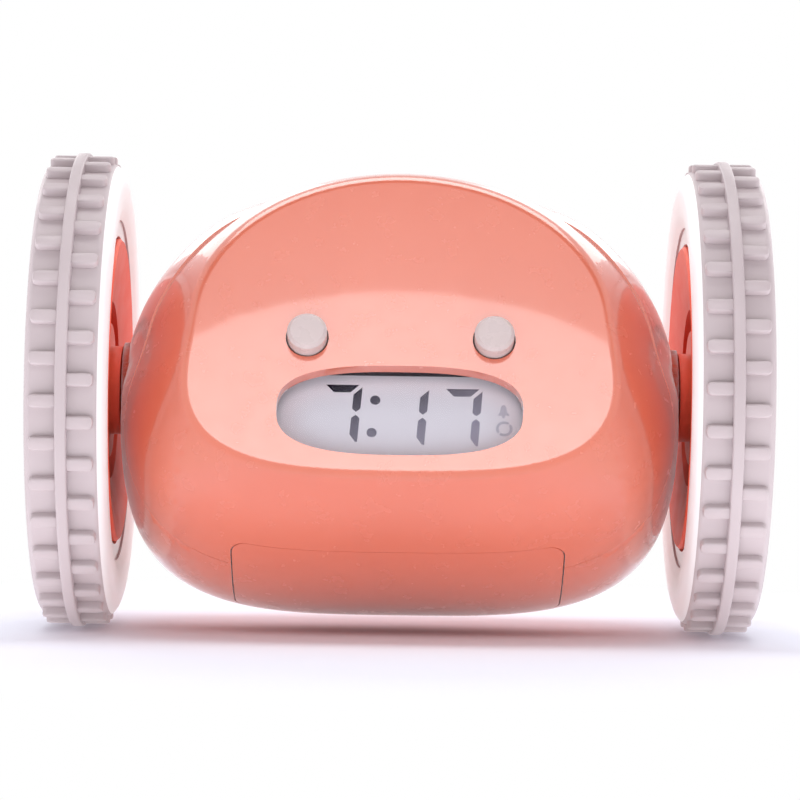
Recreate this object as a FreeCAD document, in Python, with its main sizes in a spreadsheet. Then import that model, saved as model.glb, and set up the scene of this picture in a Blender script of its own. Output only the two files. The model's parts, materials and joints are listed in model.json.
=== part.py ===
"""Runaway alarm clock: an egg-shaped clock body that hangs between two driven wheels.

Frame: origin at the middle of the wheel axle, -Y towards the display side, +Z up, and +X to the
right of someone who reads the display, so that "left" is -X. Millimetres and degrees.
Every driving dimension is a cell of the sheet Dimensions; pieces read them from there.
"""
import FreeCAD, Part
import Sketcher
import math
import os
import re

V = FreeCAD.Vector
X_AXIS = V(1, 0, 0)
Y_AXIS = V(0, 1, 0)
Z_AXIS = V(0, 0, 1)

doc = FreeCAD.newDocument("RunawayAlarmClock")
sheet = doc.addObject("Spreadsheet::Sheet", "Dimensions")

# ---------------------------------------------------------------- driving dimensions

DIMENSIONS = [
    # body shells
    ("body_half_width", 52.0, "half width of the egg at the axle"),
    ("body_top_radius", 42.05, "radius of the egg over the top"),
    ("body_bottom_radius", 41.7, "radius of the egg under the bottom"),
    ("body_bottom_power", 3.5, "squareness of the bottom's profile"),
    ("body_end_cut", 0.5, "width cut from each end of the egg, flat for the wheel hub"),
    ("blend_from", 58.0, "angle from the top where the upper profile starts to widen"),
    ("blend_to", 124.0, "angle from the top where the lower profile is reached"),
    ("hood_drop", 1.1, "how far the rear shell lies below the hood at the middle"),
    ("shoulder_rise", 0.55, "how far the rear shoulders stand above the front shell"),
    ("shoulder_from", 20.0, "distance from the middle where a shoulder starts to rise"),
    ("shoulder_at", 36.0, "distance from the middle where a shoulder is full"),
    ("shoulder_fade", 46.0, "distance from the middle where a shoulder starts to die away"),
    ("shell_wall", 2.2, "wall of both shells"),
    ("face_distance", 28.7, "distance of the face plane from the axle"),
    ("face_tilt", 26.6, "how far the face leans back"),
    ("face_wall", 2.6, "wall behind the face"),
    ("face_round", 3.2, "radius of the edge around the face"),
    ("parting_distance", 17.9, "distance of the parting plane from the axle"),
    ("parting_tilt", 12.0, "how far the parting plane leans back"),
    ("parting_gap", 0.15, "gap between the two shells"),
    ("rim_flange_width", 3.3, "inward flange of the front shell at the parting plane"),
    ("rim_flange_thick", 2.0, "thickness of that flange"),
    # display
    ("window_half_width", 22.1, "half width of the display opening"),
    ("window_half_height", 8.9, "half height of the display opening"),
    ("window_power", 2.75, "squareness of the display opening"),
    ("window_drop", 17.5, "how far the display sits below the foot of the face normal"),
    ("lens_thick", 1.0, "clear window"),
    ("lens_overlap", 1.0, "how far the clear window reaches under the face"),
    ("lens_to_lcd", 0.4, "gap between the clear window and the display glass"),
    ("lcd_width", 47.0, "display glass"),
    ("lcd_height", 18.4, "display glass"),
    ("lcd_thick", 2.2, "display glass"),
    ("lcd_shift", 0.4, "how far the display glass sits below the middle of the window"),
    ("lcd_gap", 0.05, "gap between the display glass and its frame"),
    ("holder_wall", 1.0, "wall of the frame around the display glass"),
    ("lcd_to_board", 2.0, "height of the connector strip between glass and board"),
    ("strip_width", 40.0, "connector strip"),
    ("strip_depth", 2.0, "connector strip"),
    ("board_thick", 1.6, "main circuit board"),
    ("board_width", 58.0, "main circuit board"),
    ("board_height", 30.5, "main circuit board"),
    ("board_post_spacing_x", 53.6, "board posts, across"),
    ("board_post_spacing_y", 26.0, "board posts, up the face"),
    ("board_post_radius", 1.7, "board posts"),
    ("chip_size", 9.0, "controller chip"),
    ("chip_thick", 1.3, "controller chip"),
    # face buttons and switches
    ("button_spacing", 33.8, "between the two face buttons"),
    ("button_drop", 3.1, "face buttons below the foot of the face normal"),
    ("button_radius", 3.6, "face button"),
    ("button_proud", 3.0, "how far a face button stands out"),
    ("button_edge", 0.6, "chamfer around a face button"),
    ("button_gap", 0.3, "gap around every button"),
    ("button_flange_width", 1.0, "retaining flange of a face button"),
    ("button_flange_thick", 0.8, "retaining flange of a face button"),
    ("button_flat_gap", 0.2, "gap between the flat of that flange and the display's frame"),
    ("button_stem_radius", 1.9, "stem that presses the switch"),
    ("button_play", 0.2, "axial play under a retaining flange's seat"),
    ("switch_size", 6.0, "tact switch body"),
    ("switch_height", 3.4, "tact switch body"),
    ("plunger_radius", 1.7, "tact switch plunger"),
    ("plunger_height", 0.9, "tact switch plunger above its body"),
    ("plunger_depth", 1.2, "tact switch plunger inside its body"),
    ("button_travel", 0.6, "how far every button goes in"),
    ("running_clearance", 0.05, "radial clearance of shafts, pins and plungers"),
    # snooze button
    ("snooze_angle", 28.0, "snooze button behind the top"),
    ("snooze_width", 40.0, "opening of the snooze button"),
    ("snooze_depth", 15.0, "opening of the snooze button"),
    ("snooze_corner", 6.0, "corner radius of the snooze opening"),
    ("snooze_proud", 1.0, "how far the snooze button stands out"),
    ("snooze_flange", 1.2, "retaining flange of the snooze button"),
    ("snooze_wall", 1.6, "wall of the hollow snooze button"),
    ("snooze_board_radius", 27.5, "distance of the snooze board's top from the axle"),
    ("snooze_board_width", 16.0, "snooze board"),
    ("snooze_board_depth", 26.0, "snooze board"),
    ("snooze_post_spacing", 21.6, "between the posts of the snooze board, front to back"),
    # battery door, box and cells
    ("door_angle", 62.75, "middle of the door below the horizontal"),
    ("door_width", 60.0, "door opening"),
    ("door_above", 14.05, "door above its middle line, as a chord"),
    ("door_below", 15.05, "door below its middle line, as a chord"),
    ("door_top_corner", 3.0, "corner radius at the door's top edge"),
    ("door_bottom_corner", 6.0, "corner radius at the door's hinged edge"),
    ("door_thick", 1.8, "battery door"),
    ("door_gap", 0.25, "gap around the door"),
    ("door_top_gap", 0.06, "gap along the door's top edge"),
    ("hook_spacing", 30.0, "between the door's two hooks"),
    ("hook_width", 8.0, "door hook"),
    ("hook_reach", 2.0, "how far a hook reaches under the shell"),
    ("hook_thick", 1.2, "door hook"),
    ("hook_root", 1.4, "how far a hook runs along under the door"),
    ("hook_step", 0.3, "how far a hook's foot stands back from the door's edge"),
    ("hook_clearance", 0.4, "gap between a hook and the inside of the shell"),
    ("hook_room_side", 0.75, "room beside a hook in the battery box"),
    ("hook_room_length", 8.0, "length of that room"),
    ("hook_room_depth", 3.2, "depth of that room under the shell"),
    ("cell_radius", 5.25, "AAA cell"),
    ("cell_length", 43.5, "AAA cell without its button"),
    ("nub_radius", 1.9, "cell's positive button"),
    ("nub_height", 1.0, "cell's positive button"),
    ("cell_pitch", 10.9, "between neighbouring cells"),
    ("cell_distance", 33.2, "first row of cells from the axle"),
    ("spring_length", 4.6, "contact spring as fitted"),
    ("spring_wire", 0.5, "wire of a contact spring"),
    ("spring_turns", 3.0, "turns of a contact spring"),
    ("contact_thick", 0.4, "contact plate"),
    ("contact_size", 7.0, "contact plate"),
    ("box_wall", 1.2, "battery box wall"),
    ("box_flange", 4.9, "flange of the battery box under the shell"),
    # drive
    ("gear_module", 0.5, "module of every gear"),
    ("pinion_teeth", 10, "teeth of each pinion"),
    ("wheel_teeth", 36, "teeth of each gear wheel"),
    ("tooth_thinning", 0.08, "taken from each tooth at the pitch circle"),
    ("gear_width", 2.4, "face width of a gear wheel"),
    ("gear_gap", 0.4, "axial gap between neighbouring gears"),
    ("pin_radius", 0.75, "gear pins"),
    ("axle_radius", 1.5, "wheel axle"),
    ("gear_angle_out", 34.4, "direction from the axle to the second gear"),
    ("gear_angle_mid", -36.4, "direction from the second gear to the first"),
    ("gear_angle_in", -111.7, "direction from the first gear to the motor"),
    ("plate_inner_x", 28.8, "inner face of the gearbox base"),
    ("plate_thick", 1.5, "gearbox base and cover"),
    ("plate_margin", 3.0, "gearbox plate around its outermost pins"),
    ("post_radius", 1.8, "gearbox posts"),
    ("motor_length", 25.0, "motor can"),
    ("motor_width", 20.1, "motor can across the round sides"),
    ("motor_flat", 15.1, "motor can across the flats"),
    ("motor_boss_radius", 3.0, "motor's front boss"),
    ("motor_boss_height", 1.5, "motor's front boss"),
    ("motor_shaft_radius", 1.0, "motor shaft"),
    ("shaft_depth", 3.5, "motor shaft inside the can"),
    ("motor_screw_spacing", 15.0, "between the motor's two screws"),
    ("motor_screw_turn", -25.0, "direction of the motor's screws"),
    ("cradle_rib", 1.5, "ribs of the rear shell that carry the motors"),
    ("cradle_near", 9.0, "nearer rib of a cradle from the middle"),
    ("cradle_far", 20.0, "farther rib of a cradle from the middle"),
    ("cradle_gap", 0.05, "gap between a motor and its cradle"),
    # axle boss and bushing
    ("boss_radius", 9.0, "round boss of the shell at the wheel"),
    ("boss_proud", 0.4, "how far that boss stands out of the flat end"),
    ("bushing_radius", 3.0, "axle bushing"),
    ("bushing_flange_radius", 4.6, "flange of the axle bushing"),
    ("bushing_flange_thick", 0.8, "flange of the axle bushing"),
    ("bushing_length", 6.0, "axle bushing"),
    ("bushing_boss_radius", 5.0, "inner boss that holds the bushing"),
    # sounder
    ("sounder_radius", 11.0, "sounder"),
    ("sounder_thick", 5.0, "sounder"),
    ("sounder_height", 6.0, "sounder above the axle"),
    ("sounder_depth", 26.5, "front of the sounder behind the axle"),
    ("sounder_ring", 1.2, "wall of the ring that holds the sounder"),
    ("sound_hole_radius", 0.9, "holes in front of the sounder"),
    ("sound_hole_pitch", 3.6, "between the rings of holes"),
    # screws
    ("screw_post_radius", 3.6, "screw posts of the shells"),
    ("screw_well_radius", 2.7, "deep well behind a shell screw"),
    ("screw_seat", 2.0, "seat under a shell screw's head"),
    ("screw_head_radius", 2.3, "shell screw"),
    ("screw_head_height", 1.6, "shell screw"),
    ("screw_shank_radius", 1.1, "shell screw"),
    ("screw_length", 5.5, "shell screw under its head"),
    ("upper_screw_x", 30.0, "upper shell screws from the middle"),
    ("upper_screw_z", 22.0, "upper shell screws above the axle"),
    ("lower_screw_x", 38.0, "lower shell screws from the middle"),
    ("lower_screw_z", -22.0, "lower shell screws below the axle"),
    ("small_head_radius", 1.6, "small screw"),
    ("small_head_height", 1.0, "small screw"),
    ("small_shank_radius", 0.8, "small screw"),
    ("small_length", 4.2, "small screw under its head"),
    # wheel
    ("wheel_radius", 44.5, "wheel over the tyre's rib"),
    ("rib_centre", 59.75, "tyre rib from the middle of the clock"),
    ("rib_width", 2.1, "tyre rib"),
    ("tread_depth", 2.0, "rib above the tread's floor"),
    ("lug_drop", 0.5, "bars below the rib"),
    ("lug_count", 36, "bars in each row"),
    ("lug_width", 2.45, "bar, around the tyre"),
    ("lug_length", 4.5, "bar, across the tyre"),
    ("lug_phase", 2.4, "first bar of the inner row above straight ahead"),
    ("tyre_inner_x", 52.0, "inner side of the tyre"),
    ("tyre_outer_x", 66.5, "outer side of the tyre"),
    ("tyre_bead_radius", 32.0, "tyre's seat on the disc"),
    ("disc_inner_x", 53.4, "inner lip of the wheel disc"),
    ("disc_outer_x", 65.0, "outer lip of the wheel disc"),
    ("disc_barrel_wall", 2.0, "barrel of the wheel disc"),
    ("web_x", 56.6, "inner face of the disc's web"),
    ("web_thick", 2.0, "disc's web"),
    ("ring_outer_radius", 28.5, "coral ring"),
    ("ring_inner_radius", 16.6, "coral ring"),
    ("ring_outer_x", 52.6, "coral ring at its rim"),
    ("ring_inner_x", 54.4, "coral ring at its hole"),
    ("ring_wall", 1.4, "coral ring"),
    ("hub_flange_radius", 13.0, "hub flange"),
    ("hub_flange_x", 54.6, "inner face of the hub flange"),
    ("hub_neck_radius", 8.3, "hub neck"),
    ("neck_gap", 0.35, "running gap between hub neck and shell boss"),
    ("hub_sleeve_radius", 5.0, "hub sleeve through the web"),
    ("hub_sleeve_length", 2.4, "hub sleeve outside the web"),
    ("cap_edge_x", 61.6, "hub cap at its edge"),
    ("cap_centre_x", 65.0, "hub cap at its centre"),
    ("cap_wall", 1.6, "outer hub cap"),
    ("hub_screw_head_radius", 3.0, "hub screw"),
    ("hub_screw_head_height", 1.5, "hub screw"),
    ("hub_screw_shank_radius", 0.9, "hub screw"),
    ("hub_screw_length", 5.0, "hub screw in the end of the axle"),
]

DERIVED = [
    ("axle_spacing", "gear_module * (pinion_teeth + wheel_teeth) / 2"),
    ("second_gear_y", "axle_spacing * cos(gear_angle_out)"),
    ("second_gear_z", "axle_spacing * sin(gear_angle_out)"),
    ("first_gear_y", "second_gear_y + axle_spacing * cos(gear_angle_mid)"),
    ("first_gear_z", "second_gear_z + axle_spacing * sin(gear_angle_mid)"),
    ("motor_y", "first_gear_y + axle_spacing * cos(gear_angle_in)"),
    ("motor_z", "first_gear_z + axle_spacing * sin(gear_angle_in)"),
    ("plane_a", "plate_inner_x + plate_thick + gear_gap"),
    ("plane_b", "plane_a + gear_width + gear_gap"),
    ("plane_c", "plane_b + gear_width + gear_gap"),
    ("cover_x", "plane_c + gear_width + gear_gap"),
    ("cover_outer_x", "cover_x + plate_thick"),
    ("motor_face_x", "plate_inner_x"),
    ("shell_end_x", "body_half_width - body_end_cut"),
    ("boss_x", "shell_end_x + boss_proud"),
    ("bushing_inner_x", "boss_x - bushing_length"),
    ("neck_x", "boss_x + neck_gap"),
    ("sleeve_outer_x", "web_x + web_thick + hub_sleeve_length"),
    ("face_inner", "face_distance - face_wall"),
    ("lens_back", "face_inner - lens_thick"),
    ("lcd_front", "lens_back - lens_to_lcd"),
    ("lcd_back", "lcd_front - lcd_thick"),
    ("board_front", "lcd_back - lcd_to_board"),
    ("board_back", "board_front - board_thick"),
    ("board_middle", "-window_drop + 3.75"),
    ("lcd_middle", "-window_drop - lcd_shift"),
    ("flange_front", "face_inner - button_play"),
    ("flange_back", "flange_front - button_flange_thick"),
    ("plunger_top", "board_front + switch_height + plunger_height"),
    ("button_flat_y", "lcd_middle + lcd_height / 2 + lcd_gap + holder_wall + button_flat_gap"),
    ("face_turn", "90 - face_tilt"),
    ("door_turn", "90 + door_angle"),
    ("snooze_turn", "-snooze_angle"),
    ("cells_half_length", "(cell_length + nub_height + spring_length) / 2"),
    ("box_half_length", "cells_half_length + contact_thick"),
    ("box_half_height", "cell_pitch / 2 + cell_radius + 0.2"),
    ("box_floor", "cell_distance - cell_pitch - cell_radius - 0.2"),
    ("tread_floor", "wheel_radius - tread_depth"),
    ("snooze_plunger_top", "snooze_board_radius + switch_height + plunger_height"),
    ("barrel_radius", "tyre_bead_radius - disc_barrel_wall"),
]

for row, (alias, size, meaning) in enumerate(DIMENSIONS, start=1):
    sheet.set(f"A{row}", meaning)
    sheet.set(f"B{row}", str(size))
    sheet.setAlias(f"B{row}", alias)
for row, (alias, formula) in enumerate(DERIVED, start=1):
    sheet.set(f"D{row}", "=" + formula)
    sheet.setAlias(f"D{row}", alias)
doc.recompute()

ALIASES = re.compile(r"\b(" + "|".join([entry[0] for entry in DIMENSIONS + DERIVED]) + r")\b")
SIDES = {"left": -1, "right": 1}


def dim(alias):
    """A size, as a number, from the sheet."""
    return float(sheet.get(alias))


def bind(item, prop, formula):
    """Tie a property to a formula over the sheet's aliases."""
    item.setExpression(prop, ALIASES.sub(r"Dimensions.\1", str(formula)))


def settle(item, turn="0", x="0", y="0", z="0", axis=X_AXIS):
    """Place an item in a frame turned about X: x along the axle, y and z in the turned frame."""
    item.Placement = FreeCAD.Placement(V(0, 0, 0), FreeCAD.Rotation(axis, 1))
    bind(item, "Placement.Rotation.Angle", turn)
    bind(item, "Placement.Base.x", x)
    bind(item, "Placement.Base.y", f"({y}) * cos({turn}) - ({z}) * sin({turn})")
    bind(item, "Placement.Base.z", f"({y}) * sin({turn}) + ({z}) * cos({turn})")


def block(name, size_x, size_y, size_z, turn="0", x="0", y="0", z="0"):
    """A box centred on x and y, and standing on z, in a frame turned about X."""
    item = doc.addObject("Part::Box", name)
    bind(item, "Length", size_x)
    bind(item, "Width", size_y)
    bind(item, "Height", size_z)
    settle(item, turn, f"({x}) - ({size_x}) / 2", f"({y}) - ({size_y}) / 2", z)
    return item


def rod(name, radius, length, turn="0", x="0", y="0", z="0"):
    """A cylinder that stands on z, in a frame turned about X."""
    item = doc.addObject("Part::Cylinder", name)
    bind(item, "Radius", radius)
    bind(item, "Height", length)
    settle(item, turn, x, y, z)
    return item


def rod_along_axle(name, radius, length, side, x, y="0", z="0"):
    """A cylinder along X whose nearer end is at x on the given side of the clock."""
    item = doc.addObject("Part::Cylinder", name)
    bind(item, "Radius", radius)
    bind(item, "Height", length)
    item.Placement = FreeCAD.Placement(V(0, 0, 0), FreeCAD.Rotation(Y_AXIS, 90))
    start = x if side > 0 else f"-({x}) - ({length})"
    bind(item, "Placement.Base.x", start)
    bind(item, "Placement.Base.y", y)
    bind(item, "Placement.Base.z", z)
    return item


def fuse(name, pieces):
    """Join pieces into one."""
    item = doc.addObject("Part::MultiFuse", name)
    item.Shapes = pieces
    item.Refine = True
    return item


def cut(name, base, tool):
    """Take tool away from base."""
    item = doc.addObject("Part::Cut", name)
    item.Base = base
    item.Tool = tool
    return item


def group(name, pieces):
    """Several separate solids in one node."""
    item = doc.addObject("Part::Compound", name)
    item.Links = pieces
    return item


def feature(name, shape):
    """A piece whose shape is worked out here from the sheet's sizes."""
    item = doc.addObject("Part::Feature", name)
    item.Shape = shape
    return item


# ---------------------------------------------------------------- turned pieces

def origin_part(body, role):
    """One of a body's own origin planes or axes."""
    return [item for item in body.Origin.OriginFeatures if item.Role == role][0]


def turned(name, outline, side=1, turn="0", x="0", y="0", z="0", upright=False):
    """A body turned about X from an outline of (along, radius) formulas.

    A left-hand piece is the same body turned half a turn about Z. An upright piece stands
    along the Z axis of a frame turned about X instead, at x, y and z.
    """
    body = doc.addObject("PartDesign::Body", name)
    sketch = body.newObject("Sketcher::SketchObject", name + "_outline")
    sketch.AttachmentSupport = [(origin_part(body, "XZ_Plane" if upright else "XY_Plane"), "")]
    sketch.MapMode = "FlatFace"
    corners = len(outline)
    ring = [V(math.cos(2 * math.pi * i / corners), math.sin(2 * math.pi * i / corners), 0)
            for i in range(corners)]
    for i in range(corners):
        sketch.addGeometry(Part.LineSegment(ring[i], ring[(i + 1) % corners]))
    for i in range(corners):
        sketch.addConstraint(Sketcher.Constraint("Coincident", i, 2, (i + 1) % corners, 1))
    for i, (along, radius) in enumerate(outline):
        pair = (("DistanceX", radius), ("DistanceY", along)) if upright \
            else (("DistanceX", along), ("DistanceY", radius))
        for kind, formula in pair:
            if formula == "0":
                sketch.addConstraint(Sketcher.Constraint("PointOnObject", i, 1, -2 if upright else -1))
                continue
            index = sketch.addConstraint(Sketcher.Constraint(kind, -1, 1, i, 1, 1.0))
            bind(sketch, f"Constraints[{index}]", formula)
    turning = body.newObject("PartDesign::Revolution", name + "_turning")
    turning.Profile = sketch
    turning.ReferenceAxis = (sketch, ["V_Axis" if upright else "H_Axis"])
    turning.Angle = 360
    if upright:
        settle(body, turn, x, y, z)
    elif side < 0:
        body.Placement = FreeCAD.Placement(V(0, 0, 0), FreeCAD.Rotation(Z_AXIS, 180))
    return body


# ---------------------------------------------------------------- the egg

def smooth(t):
    """A step from 0 to 1 with level ends."""
    t = min(1.0, max(0.0, t))
    return t * t * (3 - 2 * t)


def upper_radius(x, inset, rear):
    """Radius of the egg over the top at x, taken in by inset."""
    half_width = dim("body_half_width") - inset
    radius = dim("body_top_radius") - inset
    result = radius * math.sqrt(max(0.0, 1 - (x / half_width) ** 2))
    if rear:
        drop = dim("hood_drop")
        rise = dim("shoulder_rise")
        start = dim("shoulder_from")
        fade = dim("shoulder_fade")
        inner = smooth((abs(x) - start) / (dim("shoulder_at") - start))
        outer = smooth((abs(x) - fade) / (dim("body_half_width") - fade))
        result += -drop + (drop + rise) * inner - rise * outer
    return result


def lower_radius(x, inset):
    """Radius of the egg under the bottom at x, taken in by inset."""
    half_width = dim("body_half_width") - inset
    radius = dim("body_bottom_radius") - inset
    power = dim("body_bottom_power")
    return radius * max(0.0, 1 - abs(x / half_width) ** power) ** (1 / power)


def egg_section(x, inset, rear):
    """Closed curve of the egg at x."""
    points = []
    steps = 36
    for step in range(steps):
        turn = 360 * step / steps
        from_top = min(turn, 360 - turn)
        share = smooth((from_top - dim("blend_from")) / (dim("blend_to") - dim("blend_from")))
        radius = (1 - share) * upper_radius(x, inset, rear) + share * lower_radius(x, inset)
        angle = math.radians(turn)
        points.append(V(x, -radius * math.sin(angle), radius * math.cos(angle)))
    curve = Part.BSplineCurve()
    even = [step / steps for step in range(steps + 1)]
    curve.interpolate(Points=points, PeriodicFlag=True, Parameters=even)
    return Part.Wire([curve.toShape()])


EGGS = {}


def egg(inset=0.0, rear=False):
    """The body's outer form taken in by inset, as a solid lofted along the axle."""
    key = (round(inset, 4), rear)
    if key not in EGGS:
        end = dim("body_half_width") - dim("body_end_cut") - inset
        stations = 12
        places = [end * math.sin(math.pi / 2 * i / stations) for i in range(-stations, stations + 1)]
        EGGS[key] = Part.makeLoft([egg_section(x, inset, rear) for x in places], True, False)
    return EGGS[key].copy()


# ---------------------------------------------------------------- cutting helpers

REACH = 200.0


def beyond(normal, distance):
    """Everything further along normal than distance, as a large block."""
    space = Part.makeBox(REACH, REACH, REACH, V(-REACH / 2, -REACH / 2, 0))
    space.Placement = FreeCAD.Placement(normal * distance, FreeCAD.Rotation(Z_AXIS, normal))
    return space


def leaning(tilt):
    """Unit vector that points to the front and up by tilt."""
    angle = math.radians(tilt)
    return V(0, -math.cos(angle), math.sin(angle))


def in_frame(shape, turn):
    """Turn a shape built about Z into a frame turned about X."""
    shape.Placement = FreeCAD.Placement(V(0, 0, 0), FreeCAD.Rotation(X_AXIS, turn)).multiply(shape.Placement)
    return shape


def rounded_prism(width, height, corners, low, high, turn, y=0.0):
    """A prism with a rounded rectangle as its section; corners are (at -y, at +y)."""
    low_corner, high_corner = corners
    half_x = width / 2
    half_y = height / 2
    flat = Part.makePolygon([V(-half_x, y - half_y, 0), V(half_x, y - half_y, 0),
                             V(half_x, y + half_y, 0), V(-half_x, y + half_y, 0),
                             V(-half_x, y - half_y, 0)])
    prism = Part.Face(flat).extrude(V(0, 0, high - low))
    prism.translate(V(0, 0, low))
    for corner, at_y in ((low_corner, y - half_y), (high_corner, y + half_y)):
        if corner > 0:
            edges = [edge for edge in prism.Edges
                     if abs(edge.BoundBox.YLength) < 1e-6 and abs(edge.BoundBox.XLength) < 1e-6
                     and abs(edge.BoundBox.YMin - at_y) < 1e-3]
            prism = prism.makeFillet(corner, edges)
    return in_frame(prism, turn)


def superellipse_prism(half_width, half_height, power, low, high, turn, y):
    """A prism whose section is a superellipse, as the display opening is."""
    points = []
    steps = 32
    for step in range(steps):
        angle = 2 * math.pi * step / steps
        cosine = math.cos(angle)
        sine = math.sin(angle)
        along = math.copysign(abs(cosine) ** (2 / power), cosine)
        across = math.copysign(abs(sine) ** (2 / power), sine)
        points.append(V(half_width * along, y + half_height * across, low))
    curve = Part.BSplineCurve()
    curve.interpolate(Points=points, PeriodicFlag=True)
    prism = Part.Face(Part.Wire([curve.toShape()])).extrude(V(0, 0, high - low))
    return in_frame(prism, turn)


def cylinder_in_frame(radius, low, high, x, y, turn):
    """A cylinder along the Z axis of a frame turned about X."""
    return in_frame(Part.makeCylinder(radius, high - low, V(x, y, low)), turn)


def cylinder_along(direction, radius, start, length):
    """A cylinder from start along direction."""
    return Part.makeCylinder(radius, length, start, direction)


def tube(radius, side, x, length, y, z):
    """A cylinder along the axle that starts at x on the given side and runs outward."""
    return Part.makeCylinder(radius, length, V(side * x, y, z), X_AXIS * side)


FACE = leaning(dim("face_tilt"))
PARTING = leaning(dim("parting_tilt"))
FACE_TURN = dim("face_turn")
DOOR_TURN = dim("door_turn")
SNOOZE_TURN = dim("snooze_turn")
WALL = dim("shell_wall")


def screw_places():
    """Centres of the four shell screws as (x, z)."""
    upper = (dim("upper_screw_x"), dim("upper_screw_z"))
    lower = (dim("lower_screw_x"), dim("lower_screw_z"))
    return [(sign * x, z) for x, z in (upper, lower) for sign in (-1, 1)]


def parting_y(z):
    """Where the parting plane lies at height z."""
    tilt = math.radians(dim("parting_tilt"))
    return (z * math.sin(tilt) - dim("parting_distance")) / math.cos(tilt)


def board_post_places():
    """Centres of the main board's posts on the face, as (x, up the face)."""
    across = dim("board_post_spacing_x") / 2
    up = dim("board_post_spacing_y") / 2
    return [(sx * across, dim("board_middle") + sy * up) for sx in (-1, 1) for sy in (-1, 1)]


def door_opening():
    """The hole for the battery door in both shells."""
    gap = dim("door_gap")
    top_gap = dim("door_top_gap")
    height = dim("door_above") + dim("door_below") + gap + top_gap
    return rounded_prism(dim("door_width") + 2 * gap, height,
                         (dim("door_bottom_corner") + gap, dim("door_top_corner") + top_gap),
                         dim("box_floor"), REACH / 2, DOOR_TURN,
                         (dim("door_above") - dim("door_below") + top_gap - gap) / 2)


def box_envelope(margin):
    """The room that the battery box and its flange take, with a margin."""
    width = 2 * (dim("box_half_length") + dim("box_wall") + dim("box_flange") + margin)
    height = 2 * (dim("box_half_height") + dim("box_wall") + dim("box_flange") + margin)
    return rounded_prism(width, height, (0, 0), dim("box_floor") - dim("box_wall") - margin,
                         REACH / 2, DOOR_TURN)


# ---------------------------------------------------------------- front shell

def front_shell_shape():
    outer = egg().cut(beyond(FACE, dim("face_distance")))
    rim = [face.Edges for face in outer.Faces
           if isinstance(face.Surface, Part.Plane) and face.normalAt(0, 0).dot(FACE) > 0.99][0]
    outer = outer.makeFillet(dim("face_round"), rim)
    shell = outer.common(beyond(PARTING, dim("parting_distance")))
    face_space = beyond(FACE, dim("face_inner"))
    hollow = egg(WALL).cut(face_space)
    hollow = hollow.common(beyond(PARTING, dim("parting_distance") + dim("rim_flange_thick")))
    shell = shell.cut(hollow)
    shell = shell.cut(egg(WALL + dim("rim_flange_width")).cut(face_space))
    shell = shell.cut(box_envelope(0.3).common(egg(WALL)))
    for x, z in screw_places():
        post = cylinder_along(Y_AXIS, dim("screw_post_radius"), V(x, -REACH / 2, z),
                              REACH / 2 + parting_y(z))
        post = post.common(beyond(PARTING, dim("parting_distance")))
        post = post.common(egg(WALL / 2).cut(beyond(FACE, dim("face_distance") - dim("face_wall") / 2)))
        shell = shell.fuse(post)
        depth = dim("screw_length") - dim("screw_seat") + 0.3
        shell = shell.cut(cylinder_along(-Y_AXIS, dim("screw_shank_radius"),
                                         V(x, parting_y(z) + 1, z), depth + 1))
    for x, up in board_post_places():
        post = cylinder_in_frame(dim("board_post_radius"), dim("board_front"),
                                 dim("face_distance") - dim("face_wall") / 2, x, up, FACE_TURN)
        pilot = cylinder_in_frame(dim("small_shank_radius"), dim("board_front") - 1,
                                  dim("board_back") + dim("small_length"), x, up, FACE_TURN)
        shell = shell.fuse(post.common(egg(WALL / 2))).cut(pilot)
    shell = shell.cut(superellipse_prism(dim("window_half_width"), dim("window_half_height"),
                                         dim("window_power"), dim("lcd_front"),
                                         dim("face_distance") + 5, FACE_TURN, -dim("window_drop")))
    for sign in (-1, 1):
        shell = shell.cut(cylinder_in_frame(dim("button_radius") + dim("button_gap"), dim("lens_back"),
                                            dim("face_distance") + 5, sign * dim("button_spacing") / 2,
                                            -dim("button_drop"), FACE_TURN))
    return shell.cut(door_opening())


# ---------------------------------------------------------------- rear shell

def snooze_opening(margin, low, high):
    """Prism of the snooze opening, grown by margin."""
    corner = dim("snooze_corner") + margin
    return rounded_prism(dim("snooze_width") + 2 * margin, dim("snooze_depth") + 2 * margin,
                         (corner, corner), low, high, SNOOZE_TURN)


def motor_envelope(side, gap):
    """The motor's can: a cylinder with two flats, along X."""
    end = dim("motor_face_x")
    length = dim("motor_length") + gap
    start = V(side * end, dim("motor_y"), dim("motor_z"))
    can = Part.makeCylinder(dim("motor_width") / 2 + gap, length, start, X_AXIS * -side)
    height = dim("motor_flat") + 2 * gap
    width = dim("motor_width") + 2 * gap
    slab = Part.makeBox(length, width, height,
                        V(min(side * end, side * (end - length)), dim("motor_y") - width / 2,
                          dim("motor_z") - height / 2))
    return can.common(slab)


def rear_screw_post(x, z):
    """A screw post of the rear shell and the deep well behind its screw."""
    front = parting_y(z) + dim("parting_gap")
    post = cylinder_along(Y_AXIS, dim("screw_post_radius"), V(x, front - REACH / 10, z), REACH / 2)
    post = post.cut(beyond(PARTING, dim("parting_distance") - dim("parting_gap")))
    seat = parting_y(z) + dim("parting_gap") + dim("screw_seat")
    well = cylinder_along(Y_AXIS, dim("screw_well_radius"), V(x, seat, z), REACH / 2)
    hole = cylinder_along(Y_AXIS, dim("screw_shank_radius"), V(x, front - 2, z), REACH / 10)
    return post, well.fuse(hole)


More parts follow.
